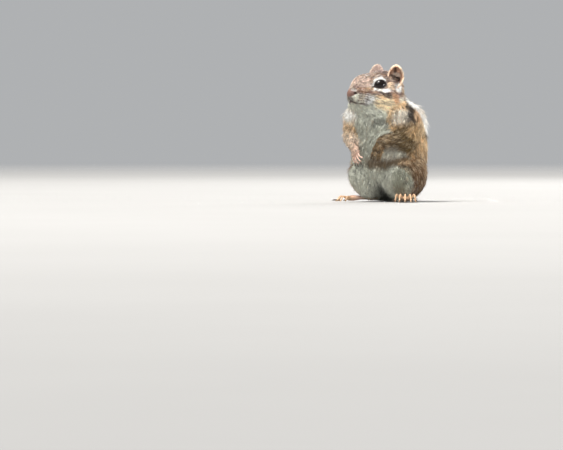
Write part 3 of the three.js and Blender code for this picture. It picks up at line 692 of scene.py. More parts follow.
q = inHead(bodyPoints)
moved = q.copy()
for _, side in sides:
    share, away = aroundEye(q, side)
    centre = mirrored(eye["centre"], side)
    radius = mix(away, eye["radius"] - socket["sunk"], fall(share, 1.0, 1.25))
    radius = mix(radius, eye["radius"] + socket["lidsStand"], ramp(share, 1.0, 1.18) * fall(share, 1.5, 2.5))
    near = share < socket["reach"]
    moved[near] = (centre + unit(q - centre) * radius[:, None])[near]
bodyPoints = fromHead(moved)
shares = [aroundEye(q, side)[0] for _, side in sides]
eyeZone = sum(ramp(share, 1.15, 1.5) * fall(share, 2.6, 3.4) for share in shares)
bodyPoints = net.smooth(bodyPoints, 4, 0.5 * np.clip(eyeZone, 0, 1))
normals = cornerNormals(bodyPoints, bodyFaces)
report("face")


def makeLids(side, turns=72, around=12):
    # a soft rim that hugs the ball, thicker above, with pointed corners
    gaze, back, up = eyeFrame(side)
    p = []
    for i in range(turns):
        a = 2 * math.pi * i / turns
        corner = abs(math.cos(a)) ** 6
        wide = (eye["opening"][0] / 2 + 0.2 + 0.3 * corner) * math.cos(a)
        high = (eye["opening"][1] / 2 + 0.15) * math.sin(a) * (1 - 0.12 * corner)
        off = math.hypot(wide, high)
        lift = math.sqrt(max((eye["radius"] + 0.2) ** 2 - off ** 2, 0.8))
        thick = eye["lid"] * (1.15 if math.sin(a) > 0 else 0.9) * (1 - 0.25 * corner)
        out = unit(back * wide + up * high)
        lean = unit(out * lift - gaze * off)  # along the ball's surface, away from the opening
        top = unit(gaze * lift + out * off)
        middle = mirrored(eye["centre"], side) + back * wide + up * high + gaze * lift
        for k in range(around):
            b = 2 * math.pi * k / around
            p.append(middle + lean * math.cos(b) * thick * 1.25 + top * math.sin(b) * thick * 0.85)
    return fromHead(np.array(p)), gridFaces(turns, around, closed=True)[:, ::side]


def earFrame(side):
    centre, up, opening = (mirrored(ear[name], side) for name in ("centre", "up", "opening"))
    if side < 0:
        centre, up = centre + ear["rightPlace"], up + arr(0, ear["rightLeansBack"], 0)
        opening = ear["rightOpening"]
    up = unit(up)
    opening = unit(opening - up * (opening @ up))
    return centre, unit(np.cross(up, opening)), up, opening


def welded(points, faces, values):
    # points that fall together become one, and the faces that vanish with them go
    _, first, back = np.unique(np.round(points, 4), axis=0, return_index=True, return_inverse=True)
    faces = back.ravel()[faces]
    whole = (faces[:, 0] != faces[:, 1]) & (faces[:, 1] != faces[:, 2]) & (faces[:, 2] != faces[:, 0])
    return points[first], faces[whole], values[first]


def makeEar(side, rings=26, turns=72):
    # an oval cup of thin skin: outer sheet, rim and inner sheet with its folds
    centre, across, up, opening = earFrame(side)
    a = np.linspace(0, 2 * np.pi, turns, endpoint=False)
    front = np.clip(-np.cos(a) * side, 0, 1)
    notch = bell(a - 1.5 * np.pi, 0.5)
    p, inside = [], []
    for inner in (False, True):
        share = np.linspace(0.0, 1, rings)[::-1 if inner else 1]
        radius, deep = (np.interp(share, np.linspace(0, 1, len(row)), row) for row in ear["profile"])
        if inner:
            thin = ear["wall"] * mix(1.15, 0.55, share)
            radius = radius - thin / ear["halfWidth"] * np.clip(share * 1.6, 0, 1)
            deep = deep + thin / ear["depth"] * (1 - share ** 2) + 0.02
        for r, d, s in zip(radius, deep, share):
            x, y = np.maximum(r, 0.0) * np.cos(a), np.maximum(r, 0.0) * np.sin(a)
            narrow = 1 - 0.16 * np.maximum(0, -y) - 0.1 * np.maximum(0, y)
            if inner:
                fold = bell(s - 0.72, 0.07) * np.clip(np.sin(a * side + 0.5), 0, 1)
                ridge = np.exp(-((x * side - 0.12) / 0.1) ** 2 - ((y + 0.15) / 0.35) ** 2)
                d = d + 0.16 * fold + 0.22 * ridge
            # the front edge turns in and the foot has a notch
            d = d + 0.12 * s ** 3 * front - 0.25 * s ** 4 * notch
            ripple = 0.02 * s * np.sin(3 * a + 1)
            p.append(centre + across * (x * narrow * ear["halfWidth"] * (1 + ripple))[:, None]
                     + up * (np.where(y > 0, y, 0.96 * y) * ear["halfHeight"])[:, None]
                     + opening * (d * ear["depth"])[:, None])
            inside.append(np.full(turns, s if inner else -s))
    return welded(fromHead(np.concatenate(p)), gridFaces(2 * rings, turns), np.concatenate(inside))


claws, skins = [], {}
for side, _ in sides:
    for part, (flesh, nails) in (("hand", makeHand(arms[side])), ("foot", makeFoot(feet[side]))):
        points, quads = remeshed(*joined(flesh), skinSize[part + "Voxel"])
        points = Net(quads, len(points)).smooth(points, 3)
        points[:, 2] = np.maximum(points[:, 2], 0.05)
        skins[f"{part}_{side}"] = (points, triangles(quads))
        claws += nails
report("hands and feet")


# How the coat lies, how long it is and how thick it stands (mm), part by part

coat = {
    #  length, rise, width, tufts a mm2, gathering into locks
    "torso": (6.2, 2.3, 0.42, 6.6, 0.62),
    "neck": (5.8, 2.3, 0.42, 7.0, 0.62),
    "head": (2.8, 1.0, 0.30, 9.0, 0.4),
    "upper_arm": (4.8, 1.9, 0.40, 7.0, 0.6),
    "forearm": (3.4, 1.1, 0.34, 8.5, 0.45),
    "thigh": (6.0, 2.3, 0.42, 6.8, 0.62),
    "shin": (4.8, 1.9, 0.40, 7.2, 0.62),
    "tail": (16.5, 5.6, 0.80, 8.0, 0.45),
}
muzzleHair = {"length": 1.15, "rise": 0.28, "width": 0.2, "density": 13}
cheekHair = {"length": 2.0, "rise": 0.7}  # so much longer and higher
lidHair = {"length": 0.9, "rise": 0.22, "width": 0.2}
kinds = np.array(kindOf)[region]


def flattened(v, normal):
    return v - normal * dots(v, normal)


def limbWay(p, *joints):
    # along the limb, from joint to joint
    total = np.zeros_like(p)
    for a, b in zip(joints[:-1], joints[1:]):
        total += bell(awayFromLine(p, [a, b])[0], 7)[:, None] * unit(b - a)
    return unit(total + 1e-6 * arr(0, 0, -1))


def layOfCoat(p):
    # back from the nose, down the body and along the limbs and the tail
    way = np.where((kinds == "head")[:, None], unit(inHead(p) - arr(0, -36, -7)) @ headTurn.T, arr(0, 0, -1))
    for side, _ in sides:
        arm, leg = arms[side], legs[side]
        alongArm = limbWay(p, arm["shoulder"], arm["elbow"], arm["wrist"])
        for part, own in (("upper_arm", alongArm), ("forearm", alongArm),
                          ("thigh", unit(arr(0, 0.15, -1) + 0.35 * unit(leg["knee"] - leg["hip"]))),
                          ("shin", unit(leg["ankle"] - leg["knee"] + arr(0, -1, -2)))):
            way = np.where(inNode(f"{part}_{side}")[:, None] > 0, own, way)
    _, share = awayFromLine(p, tailLine)
    knots = np.linspace(0, 1, len(tailLine))
    ahead = unit(np.gradient(tailLine, axis=0))
    tailWay = unit(np.stack([np.interp(share, knots, row) for row in ahead.T], 1))
    toTail = np.maximum(kinds == "tail", fall(lengths(p - arr(0, 20, 12)), 6, 17))
    return mix(way, tailWay, toTail[:, None])


table = np.array([coat[kind] for kind in kindOf])
hair = dict(zip(("length", "rise", "width", "density", "gather"), net.smooth(table[region], 26).T))
way = layOfCoat(bodyPoints)
for _ in range(3):
    way = unit(flattened(net.smooth(way, 14), normals))

x, y, z = bodyPoints.T
q = inHead(bodyPoints)
onHead = net.smooth(inNode("head"), 10)
onMuzzle = ramp(-q[:, 1], 6, 24) * onHead
cheek = ramp(-q[:, 2], 3, 12) * ramp(np.abs(q[:, 0]), 4, 9) * onHead
for name, value in muzzleHair.items():
    hair[name] = mix(hair[name], value, onMuzzle)
for name, more in cheekHair.items():
    hair[name] = hair[name] + more * cheek * (1 - onMuzzle)
ruff = bell(lengths((folded(bodyPoints - arr(1, 0, 0)) - arr(23, -2, 63)) / arr(7, 9, 8)), 1)
lowSide = fall(z, 10, 24) * ramp(x, 21, 25) * fall(y, 8, 16)
hair["rise"] = hair["rise"] + 1.9 * ruff * (1 - onHead) - 1.1 * lowSide
eyeGap = fromNearerEye(q)
closeToEye = fall(eyeGap, 1.1, 2.8) * onHead
for name, value in lidHair.items():
    hair[name] = mix(hair[name], value, closeToEye)
bare = np.clip(isPad * onHead + (eyeGap < 1.14) * onHead, 0, 1)
density = hair.pop("density") * (1 - bare) + (1 - bare) * closeToEye * 5
density[bare > 0.3] = 0
density *= 1 - 0.8 * fall(z, 0.8, 3)
density[z < 0.7] = 0


# The markings, with painted shade and painted light, the same for the skin and for the coat

def srgb(r, g, b):
    c = np.array([r, g, b], float) / 255
    return np.where(c <= 0.04045, c / 12.92, ((c + 0.055) / 1.055) ** 2.4)


shades = {name: srgb(*rgb) for name, rgb in {
    "white": (255, 255, 252), "chest": (216, 218, 204), "flank": (232, 196, 148), "back": (164, 134, 102),
    "buff": (240, 204, 164), "neckTan": (255, 222, 176), "shoulderPale": (255, 246, 230),
    "grizzle": (140, 130, 118), "rusty": (98, 64, 34), "rump": (94, 54, 26), "crown": (172, 148, 138),
    "crownGrey": (160, 136, 126), "stripe": (46, 36, 32), "cream": (252, 246, 232), "faceDark": (98, 62, 44),
    "ochre": (224, 180, 124), "ochreDark": (150, 106, 64), "cheekCream": (250, 232, 196),
    "paleTan": (226, 200, 168), "rufousDark": (136, 84, 54), "underEye": (58, 34, 26),
    "paintedLegShade": (150, 152, 134), "rufous": (200, 142, 92), "tanNose": (214, 190, 176),
    "muzzleGrey": (228, 222, 208), "kneeBrown": (134, 114, 88), "paintedCreaseShade": (84, 86, 78), "arm": (118, 96, 60),
    "rightArm": (246, 228, 208), "handFur": (232, 206, 186), "leftHand": (126, 102, 70),
    "flesh": (226, 190, 172), "toe": (222, 184, 146), "earInside": (206, 166, 142), "earHollow": (56, 34, 28),
    "earRim": (250, 226, 198), "pad": (132, 98, 84), "lips": (78, 50, 48), "rim": (30, 22, 19),
    "tailDark": (52, 40, 32), "tailFrost": (214, 202, 180), "darkTick": (52, 38, 28),
    "paleTick": (240, 218, 182), "whisker": (60, 46, 40),
}.items()}


def plain(p, shade):
    return np.tile(shades[shade], (len(p), 1))


def tint(colours, shade, amount):
    # shade is a name or a colour
    colour = shades[shade] if isinstance(shade, str) else shade
    return mix(colours, colour, np.clip(amount, 0, 1)[:, None])


def mottled(p, amount, size, seed):
    return (1 + amount * noise(p, size, seed))[:, None]


facePatches = [
    # middle (y, z) on the side of the head, half sizes, shade, amount, where it starts beside the midline
    ((-25.5, 0.5), (6.5, 4.5), "tanNose", 0.9, 0),
    ((-12.0, 9.5), (8.0, 4.0), "crownGrey", 0.55, 0),
    ((-25.5, -5.4), (4.2, 1.9), "rufous", 0.4, 1.8),
    ((-20.0, -4.0), (3.4, 1.5), "ochre", 0.45, 2),
    ((-21.0, -11.5), (9.0, 3.6), "muzzleGrey", 0.8, 1.5),
    ((-9.0, -13.6), (9.4, 5.4), "cheekCream", 1.0, 3),
    ((-13.5, -9.2), (4.6, 1.3), "ochre", 0.7, 3),
    ((-3.5, -17.0), (3.2, 3.0), "ochreDark", 0.7, 3),
    ((-4.5, -9.0), (3.2, 4.6), "rufous", 0.8, 4),
    ((-21.2, -11.8), (3.2, 4.0), "white", 1.0, 3),
    ((-6.0, -1.2), (2.6, 3.2), "paleTan", 0.85, 4),
    ((-3.0, 3.5), (2.6, 3.0), "crownGrey", 0.5, 5),
    ((0.4, -1.9), (3.3, 3.9), "white", 1.0, 5),
]
faceLines = [
    # line (y, z), half widths at its two ends, shade, amount
    ([(-22.5, -6.6), (-17, -6.4), (-12, -6.2), (-6, -6.2), (0, -6.4), (4, -6.2)], (0.5, 1.2), "rufousDark",
     0.5),
    ([(-14.6, -6.3), (-12.2, -7.3), (-9.4, -7.9)], (1.0, 2.1), "underEye", 1.0),
    ([(-20, -8.3), (-17.5, -7.9), (-15, -8.4)], (0.4, 0.4), "faceDark", 0.7),
    ([(-4, -5.2), (0, -5.6), (4, -4.6)], (0.7, 0.9), "faceDark", 0.75),
    ([(-17.8, -1.4), (-17.0, 1.2), (-15.0, 3.2), (-12.2, 3.8), (-9.8, 3.2)], (1.35, 0.8), "white", 1.0),
    ([(-17.4, -4.2), (-13.8, -4.9), (-10.5, -4.7), (-8.0, -3.8)], (0.9, 1.0), "white", 1.0),
    ([(-20.2, 1.0), (-18, 4.6), (-13.5, 6.8), (-8, 6.0), (-3.5, 4.4)], (0.5, 0.7), "ochreDark", 0.55),
    ([(-8.3, 1.3), (-6.4, 2.0), (-4.4, 2.4)], (0.45, 0.3), "faceDark", 0.8),
    ([(-19.4, -3.2), (-17.0, -2.0), (-15.6, -1.2)], (0.35, 0.6), "rim", 0.95),
    ([(-0.6, 0.2), (0.6, -2.6)], (0.5, 0.4), "faceDark", 0.8),
]
lipLines = [
    # line, width, amount, from side to side
    (face["mouthLine"], 0.8, 1.0),
    (face["philtrum"], 1.0, 0.8),
    (face["lipSide"], 1.0, 0.75),
]
whiskerSpots = {"first": (-28, -6.6), "rows": 5, "perRow": 4, "radius": 0.6}


def faceMarksAndShade(q):
    # colours in the head's own frame, alike on both sides; returns them with how ticked they are
    half = folded(q)
    s, y, z = half.T
    flat = np.stack([y, z], 1)
    wave = noise(q, 2.2, 1) * 0.6 + noise(q, 0.9, 12) * 0.4
    c = tint(plain(q, "crown"), "back", ramp(y, -1, 8)) * (
        1 + 0.24 * noise(q, 1.6, 13) + 0.2 * noise(q, 0.8, 14))[:, None]
    c = tint(c, "faceDark", 0.65 * ramp(noise(q, 1.5, 21), 0.25, 0.6))
    c = tint(c, "white", 0.5 * ramp(noise(q, 1.6, 22), 0.2, 0.6))
    lower = fall(z + 0.5 * wave, -9.4, -7.6)
    c = tint(c, "chest", lower)
    ticked = mix(np.full(len(q), 0.85), 0.2, lower)
    for (my, mz), (ry, rz), shade, amount, start in facePatches:
        away = np.hypot((y - my) / ry, (z - mz) / rz) + 0.16 * wave
        here = fall(away, 0.72, 1.12) * amount * ramp(s, start - 1, start + 1)
        c = tint(c, shade, here)
        ticked = mix(ticked, 0.15 if shade == "white" else 0.6, here)
    c = tint(c, "chest", fall(z + 0.6 * wave, -19.5, -16.5))
    # rows of small dark places where the whiskers stand
    for row in range(whiskerSpots["rows"]):
        for k in range(whiskerSpots["perRow"]):
            spot = arr(whiskerSpots["first"][0] + 1.9 * k + 0.5 * (row % 2),
                       whiskerSpots["first"][1] - 1.6 * row - 0.12 * k)
            c = tint(c, "faceDark", bell(lengths(flat - spot), whiskerSpots["radius"]) * ramp(s, 2, 3.5))
    for line, (w0, w1), shade, amount in faceLines:
        off, along = awayFromLine(flat, line)
        wide = mix(w0, w1, along)
        here = fall(off + 0.22 * wave, wide * 0.8, wide * 1.3) * amount * ramp(s, 2.6, 4.4)
        c = tint(c, shade, here)
        ticked = mix(ticked, 0.5, here)
    for line, wide, amount in lipLines:
        for _, side in sides:
            c = tint(c, "lips", bell(awayFromLine(q, np.array(line) * arr(side, 1, 1))[0], wide) * amount)
    # painted shade along the crease above the nose pad
    c = tint(c, "lips", bell(awayFromLine(half, face["noseCrease"])[0], 0.55) * 0.75)
    pad = fall(padShare(q), 0.88, 1.14)
    c = tint(c, shades["pad"] * mottled(q, 0.15, 0.7, 15), pad)
    c = tint(c, "lips", 0.5 * pad * ramp(s, 1.2, 3.2))
    # painted shade in the nostrils' openings
    for _, side in sides:
        c = tint(c, "rim", fall(lengths((q - mirrored(nostril, side)) / arr(0.9, 1.1, 0.75)), 0.9, 1.5))
    c = tint(c, "rim", fall(fromNearerEye(q), 1.16, 1.3))
    return c, ticked * (1 - pad)


bodyPatches = [
    # middle, half sizes (mm), shade, amount, which side: 0 both, 1 left, -1 right
    ((15, -7, 68), (7, 7, 6.5), "neckTan", 0.9, 0),
    ((16, -13, 62), (8.5, 6, 6.2), "shoulderPale", 1.0, 1),
    ((-20, -12, 64), (10, 9, 7), "cream", 0.85, -1),
    ((-22, -9, 55), (6, 8, 5), "neckTan", 0.5, -1),
    ((22, -15, 60), (3, 3.4, 5), "grizzle", 0.75, 1),
    # painted sunlight along the body's outer edge by the shoulder, on both sides
    ((26, -1, 56), (4, 7, 6), "cheekCream", 0.6, 0),
    ((-10.5, -10, 3.5), (5, 4, 3.4), "flank", 0.7, -1),
    ((9.5, -17, 55), (3, 3, 3), "grizzle", 0.35, 1),
    # painted light on the left flank's white fur, where the forearm's shadow falls
    ((12, -20, 36.5), (10, 8, 4.2), "cream", 0.4, 1),
    # painted shade on the front of the left leg
    ((19, -20, 14), (8, 8, 14), "paintedLegShade", 0.9, 1),
    ((25, -10, 50), (4.5, 9, 8), "flank", 0.6, 1),
    # painted sunlight on the right ruff's cream fur
    ((-20, -13, 66), (10, 9, 6), "white", 0.95, -1),
]
patchTicks = {"cream": 0.15, "white": 0.15, "paintedLegShade": 0.15, "shoulderPale": 0.3}
shoulderLines = [
    # line, half width, shade, on both shoulders or only on the left one
    ([(15.5, -1.5, 77), (18.2, -4.5, 74), (20.2, -7.5, 70.5), (21.6, -10, 66.5), (23, -12, 62.5),
      (24.5, -11.5, 59)], 1.9, "stripe", False),
    ([(13, 3, 77), (16.5, 0, 74), (19, -2, 71), (21.5, -4, 68), (23.8, -4, 65), (25.4, -1, 61.5),
      (25.8, 3.5, 58), (25.2, 8.5, 54.5)], 2.8, "white", True),
]
backStripes = [
    # how far round from the spine (mm), half width, shade
    (0, 1.1, "stripe"), (16.2, 1.9, "stripe"), (26.2, 1.9, "stripe"), (21.2, 2.4, "cream"),
]
armMarks = {
    # shade of the arm, towards the hand, between which shares of its length that begins, how ticked
    # the left arm is painted in shade, darkest towards the hand; the right arm is pale fur painted sunlit
    "left": ("arm", shades["leftHand"] * 0.7, (0.5, 0.75), 0.55),
    "right": ("rightArm", "handFur", (0.7, 0.95), 0.8),
}
# where shadow is painted in the fold under the chin
chinFoldShadow = [(-1.5, -19, 58.5), (2.5, -18, 60.5), (6.5, -17, 60)]


def bodyMarksAndShade(p):
    x, y, z = p.T
    wave = noise(p, 5, 2) * 1.2 + noise(p, 2, 3) * 0.6
    side = np.abs(x - np.interp(z, [0, 46, 58, 70], [1, 1, -5, -6]))  # the chest is turned with the head
    forward = side * 0.927 + y * 0.375 + wave  # grows from the belly's middle round to the back
    edge = np.interp(z, [0, 8, 16, 20, 24, 27, 31, 34, 39, 44, 52, 60, 66],
                     [16.5, 16.5, 16, 13.5, 10, 6, 9, 14.5, 14, 10, 6, 4.5, 3.5])
    edge = edge + 5 * ramp(-x, 4, 10) * ramp(z, 5, 10) * fall(z, 34, 42)  # paler on the right thigh
    brown = np.maximum(ramp(forward - edge, -1.3, 1.6), ramp(y + wave, 3, 7) * ramp(z, 3, 9))
    overKnees = 0.95 * np.exp(-((z + 0.6 * wave - 31) / 4.6) ** 4) * ramp(x, -13, -3)
    c = tint(plain(p, "chest"), "kneeBrown", overKnees)
    # painted shade in the gap between the legs, under the belly
    c = tint(c, "paintedCreaseShade", 0.85 * bell(x - between["middle"], np.interp(z, [0, 6, 18], [8, 5.5, 3]))
             * fall(z, 11, 22) * fall(y, 0, 8))
    # painted shadow in the fold where the cheek fur meets the chest
    c = tint(c, "paintedCreaseShade", 0.6 * bell(awayFromLine(p, chinFoldShadow)[0], 2.2))
    # rufous lower flanks, darkened towards the bottom with painted shade
    fur = tint(plain(p, "flank"), "rusty", fall(z + wave, 22, 46) * 0.92)
    # stripes down the back, measured round from the spine; they swing out over the shoulders
    arc = np.abs(np.arctan2(x - 1, y - 3)) * np.minimum(np.hypot(x - 1, y - 3), 27) + 0.5 * wave
    arc = arc / np.interp(z, [40, 52, 60, 66, 73], [1, 1.35, 1.5, 1.35, 1])
    onBack = ramp(z + wave, 17, 25) * fall(z, 74, 80) * ramp(y, -9, -4)
    fur = tint(fur, "back", fall(arc, 13, 16) * onBack)
    # the rump's rufous fur, darkened with painted shade low at the back
    fur = tint(fur, "rump", fall(z + 1.5 * wave, 13, 31) * ramp(y, 0, 12))
    for middle, half, shade in backStripes:
        fur = tint(fur, shade, fall(np.abs(arc - middle), half * 0.75, half * 1.35) * onBack * 0.92)
    pale = ((np.abs(arc - 21.2) < 2.2) * onBack).astype(float)
    ticked = (0.06 + 0.8 * brown) * (1 - 0.8 * pale) * mix(0.45, 1, ramp(z + wave, 16, 38))
    return mix(c, fur, brown[:, None]), ticked


def markingsAndShading(p):
    body, bodyTicks = bodyMarksAndShade(p)
    faceColour, faceTicks = faceMarksAndShade(inHead(p))
    c = mix(body, faceColour, onHead[:, None])
    ticked = mix(bodyTicks, faceTicks, onHead)
    wave = noise(p, 3, 4)
    for side, (shade, towardsHand, (begins, ends), ticks) in armMarks.items():
        joints = [arms[side][name] for name in ("shoulder", "elbow", "wrist")]
        own = net.smooth(inNode("upper_arm_" + side) + inNode("forearm_" + side), 5)
        _, along = awayFromLine(p, joints)
        fur = tint(plain(p, "buff"), shade, ramp(along + 0.05 * wave, 0.05, 0.3))
        fur = tint(fur, towardsHand, ramp(along, begins, ends) * 0.8)
        behind = p[:, 1] - np.interp(along, [0, 0.5, 1], [joint[1] for joint in joints])
        fur = tint(fur, "chest", ramp(behind, 1.5, 4.5) * 0.6 * (along > 0.5))
        c = mix(c, fur, own[:, None])
        ticked = mix(ticked, ticks, own)
    doubled = np.stack([1 + np.abs(p[:, 0] - 1), p[:, 1], p[:, 2]], 1)
    for middle, size, shade, amount, which in bodyPatches:
        away = lengths(((p if which else doubled) - middle) / arr(*size)) + 0.14 * wave
        here = fall(away, 0.6, 1.15) * amount * (1 - onHead)
        c = tint(c, shade, here)
        ticked = mix(ticked, patchTicks.get(shade, 0.75), here)
    for line, wide, shade, both in shoulderLines:
        onSkin = [bodyTree.find_nearest(spot)[0] for spot in smoothLine(line, 24).tolist()]
        off, along = awayFromLine(doubled if both else p, onSkin)
        wide = wide * np.interp(along, [0, 0.4, 0.7, 1], [0.6, 1, 1, 0.8])
        here = fall(off + 0.4 * wave, wide * 0.7, wide * 1.4) * 0.92 * (1 - onHead)
        c = tint(c, shade, here)
        ticked = mix(ticked, 0.1, here)
    onTail = net.smooth(inNode("tail"), 12)
    tailColour = tint(shades["rump"][None], "tailDark", ramp(normals[:, 2], -0.35, 0.35) * 0.85)
    return mix(c, tailColour, onTail[:, None]), mix(ticked, 0.5, onTail)


bodyTree = treeOf(bodyPoints, bodyFaces)
bodyColour, bodyTicks = markingsAndShading(bodyPoints)
report("markingsAndShading")


# An unwrap of the skin's own shape: each part laid out from its six sides, packed in rows.
# A tuft's patch stands where its root stands.

def layOut(points, faces, partOfFace, margin=1.5):
    # returns each face's chart, and what finds a point's place in the UV map on a given chart
    facing = crossOf(points, faces)
    axis = np.abs(facing).argmax(1)
    chart = partOfFace * 6 + axis * 2 + (facing[np.arange(len(faces)), axis] > 0)
    planes = ((1, 2), (0, 2), (0, 1))
    boxes = {}
    for n in np.unique(chart):
        corners = points[faces[chart == n].ravel()][:, planes[n % 6 // 2]]
        boxes[n] = (corners.min(0), corners.max(0) - corners.min(0))
    order = sorted(boxes, key=lambda n: -boxes[n][1][1])
    rowWidth = math.sqrt(sum(np.prod(boxes[n][1] + margin) for n in order)) * 1.06
    x = y = tall = 0.0
    places = {}
    for n in order:
        size = boxes[n][1] + margin
        if x + size[0] > rowWidth:
            x, y, tall = 0.0, y + tall, 0.0
        places[n] = np.array([x, y]) - boxes[n][0] + margin / 2
        x, tall = x + size[0], max(tall, size[1])
    scale = 0.98 / max(rowWidth, y + tall)

    def uvOf(p, chartOfP):
        uv = np.empty((len(p), 2))
        for n in np.unique(chartOfP):
            own = chartOfP == n
            uv[own] = (p[own][:, planes[n % 6 // 2]] + places[n]) * scale + 0.01
        return uv
    return chart, uvOf


# Tufts: three-sided closed slivers, rooted in the skin, lying along it and gathering into locks

coatSeed = 11
tuft = {
    "thick": 0.36,  # of the width
    "profile": ((0, 0.35, 0.7, 1), (0.72, 1.0, 0.7, 0.1)),  # width along it
    "varies": {"length": (0.72, 1.18), "rise": (0.55, 1.1), "width": (0.75, 1.25)},
    "guards": 0.08,  # the share of guard hairs, which are longer, higher and thinner
    "guardHair": {"length": 1.15, "rise": 1.7, "width": 0.62},
    "rooted": 0.3,  # mm under the skin
    "lockLift": (-0.3, 0.55),  # of the rise
    "lowest": 0.1,
    "patch": 0.003,  # its size in the UV map
}
ticking = {
    "dark": 0.33, "pale": 0.38,  # shares of the tufts
    "darkTip": 0.8, "paleTip": 0.75, "darkMiddle": 0.4, "paleMiddle": 0.3,
    "tone": (0.28, 0.45, 1.6),  # how much the locks' tones vary, darkest, palest
}


def sow(points, faces, density, random):
    wanted = np.cumsum(0.5 * lengths(crossOf(points, faces)) * density[faces].mean(1))
    count = int(wanted[-1])
    at = np.searchsorted(wanted, (np.arange(count) + random.random(count)) * wanted[-1] / count)
    u, v = random.random((2, count))
    flip = u + v > 1
    u, v = np.where(flip, 1 - u, u), np.where(flip, 1 - v, v)
    return np.minimum(at, len(faces) - 1), np.stack([1 - u - v, u, v], 1)


def followSkin(tree, p, height, keepAbove=0.12):
    # moves points onto the skin and lifts them off it by their height
    out = np.empty_like(p)
    for i, (point, h) in enumerate(zip(p.tolist(), height.tolist())):
        spot, normal, _, _ = tree.find_nearest(point)
        out[i] = (spot[0] + normal[0] * h, spot[1] + normal[1] * h, spot[2] + normal[2] * h)
    out[:, 2] = np.maximum(out[:, 2], keepAbove)
    return out


def growTufts(surface, random, firstFace=0, steps=(0.45,), jitter=13, locks=0.75, rootShade=0.42,
              tipShade=None):
    # returns centre lines (count, rings, 3), widths, side directions, roots, colours and places in the UV map
    faces = surface["faces"]
    at, weights = sow(surface["points"], faces, surface["density"], random)
    count = len(at)

    def here(name):
        corners = surface[name][faces[at]]
        return (corners * (weights if corners.ndim == 2 else weights[:, :, None])).sum(1)

    root, n = here("points"), unit(here("normals"))
    way = unit(flattened(here("way"), n))
    swirl = noise(root, 3.2, 8) * 0.22 + noise(root, 1.1, 9) * 0.12
    turn = np.radians(random.normal(0, jitter, count)) + swirl
    way = way * np.cos(turn)[:, None] + np.cross(n, way) * np.sin(turn)[:, None]
    size = {name: here(name) * random.uniform(*limits, count) for name, limits in tuft["varies"].items()}
    guard = random.random(count) < tuft["guards"]
    long, rise, wide = (np.where(guard, size[name] * more, size[name])
                        for name, more in tuft["guardHair"].items())
    shares = (0, *steps, 1)
    lines = [root - n * tuft["rooted"] - way * 0.1]
    for s in shares[1:]:
        height = rise * (1 - (1 - s) ** 1.7)
        p = root + way * (long * s)[:, None]
        p = followSkin(surface["tree"], p, height) if "tree" in surface else p + n * height[:, None]
        p[:, 2] = np.maximum(p[:, 2], tuft["lowest"])
        lines.append(p)
    # neighbouring tips lean to the same point, and each lock has its own tone and lift
    seeds = random.random(count) < locks / np.maximum(here("density"), 1)
    lock = np.zeros(count, int)
    if seeds.sum() > 2:
        # locks are longer than they are wide: distance along the coat counts for less
        axis = surface["axis"][faces[at, 0]]
        flatRoot = root - 0.62 * axis * dots(root, axis)
        lock = nearestOf(flatRoot, flatRoot[seeds])
        pull = here("gather") * bell(lengths(flatRoot[seeds][lock] - flatRoot), 0.9 / math.sqrt(locks))
        for r, s in enumerate(shares):
            if s:
                lean = lines[r][seeds][lock] - lines[r]
                lean = lean - way * (0.8 * dots(lean, way))
                lines[r] = lines[r] + lean * (pull * s ** 1.3)[:, None]
    lockLift = random.uniform(*tuft["lockLift"], max(int(seeds.sum()), 1))[lock] * rise
    lines = np.stack([line + n * (lockLift * s ** 1.6)[:, None] if s else line
                      for line, s in zip(lines, shares)], 1)
    lines[:, :, 2] = np.maximum(lines[:, :, 2], tuft["lowest"])
    ahead = unit(lines[:, -1] - lines[:, 0])
    roll = random.normal(0, 0.35, count)
    flat = unit(np.cross(n, ahead))
    flat = flat * np.cos(roll)[:, None] + np.cross(ahead, flat) * np.sin(roll)[:, None]
    ticked = here("ticked") if np.ndim(surface["ticked"]) else surface["ticked"]
    return {"lines": lines, "shares": shares, "wide": wide, "flat": flat, "over": np.cross(ahead, flat),
            "root": root, "face": at, "uv": uvOf(root, chart[firstFace + at]),
            "colours": tuftColours(here("colour"), ticked, shares, lock, random, rootShade, tipShade)}


def tuftColours(colour, ticked, shares, lock, random, rootShade, tipShade):
    # each lock has a tone and a kind of tip that most of its tufts share
    count = len(colour)
    lockPick = random.random(lock.max() + 1)[lock]
    pick = np.where(random.random(count) < 0.75, lockPick, random.random(count))
    varies, darkest, palest = ticking["tone"]
    tone = np.clip(random.normal(1, varies, lock.max() + 1), darkest, palest)[lock]
    tone = tone * random.uniform(0.88, 1.12, count)
    even = colour * mix(1, tone, 0.5 + 0.5 * ticked)[:, None]
    tip, middle = even * 1.12, even
    dark = pick < ticking["dark"] * ticked
    pale = (pick > 1 - ticking["pale"] * ticked) & ~dark
    for shade, own in (("dark", dark), ("pale", pale)):
        tick = shades[shade + "Tick"]
        tip = np.where(own[:, None], mix(even, tick, ticking[shade + "Tip"]), tip)
        middle = np.where(own[:, None], mix(even, tick, ticking[shade + "Middle"]), middle)
    if tipShade is not None:
        tip, middle = tipShade(even, middle, pick)
    # darker roots: the hair's dark underfur, and painted shade down among the locks, less under pale hair
    foot = even * mix(rootShade, 0.82, ramp(even.mean(1), 0.45, 0.8))[:, None]
    steps = [mix(middle, tip, max(0, (share - 0.5) * 1.4)) for share in shares[1:-1]]
    return np.stack([foot, *steps, tip], 1)


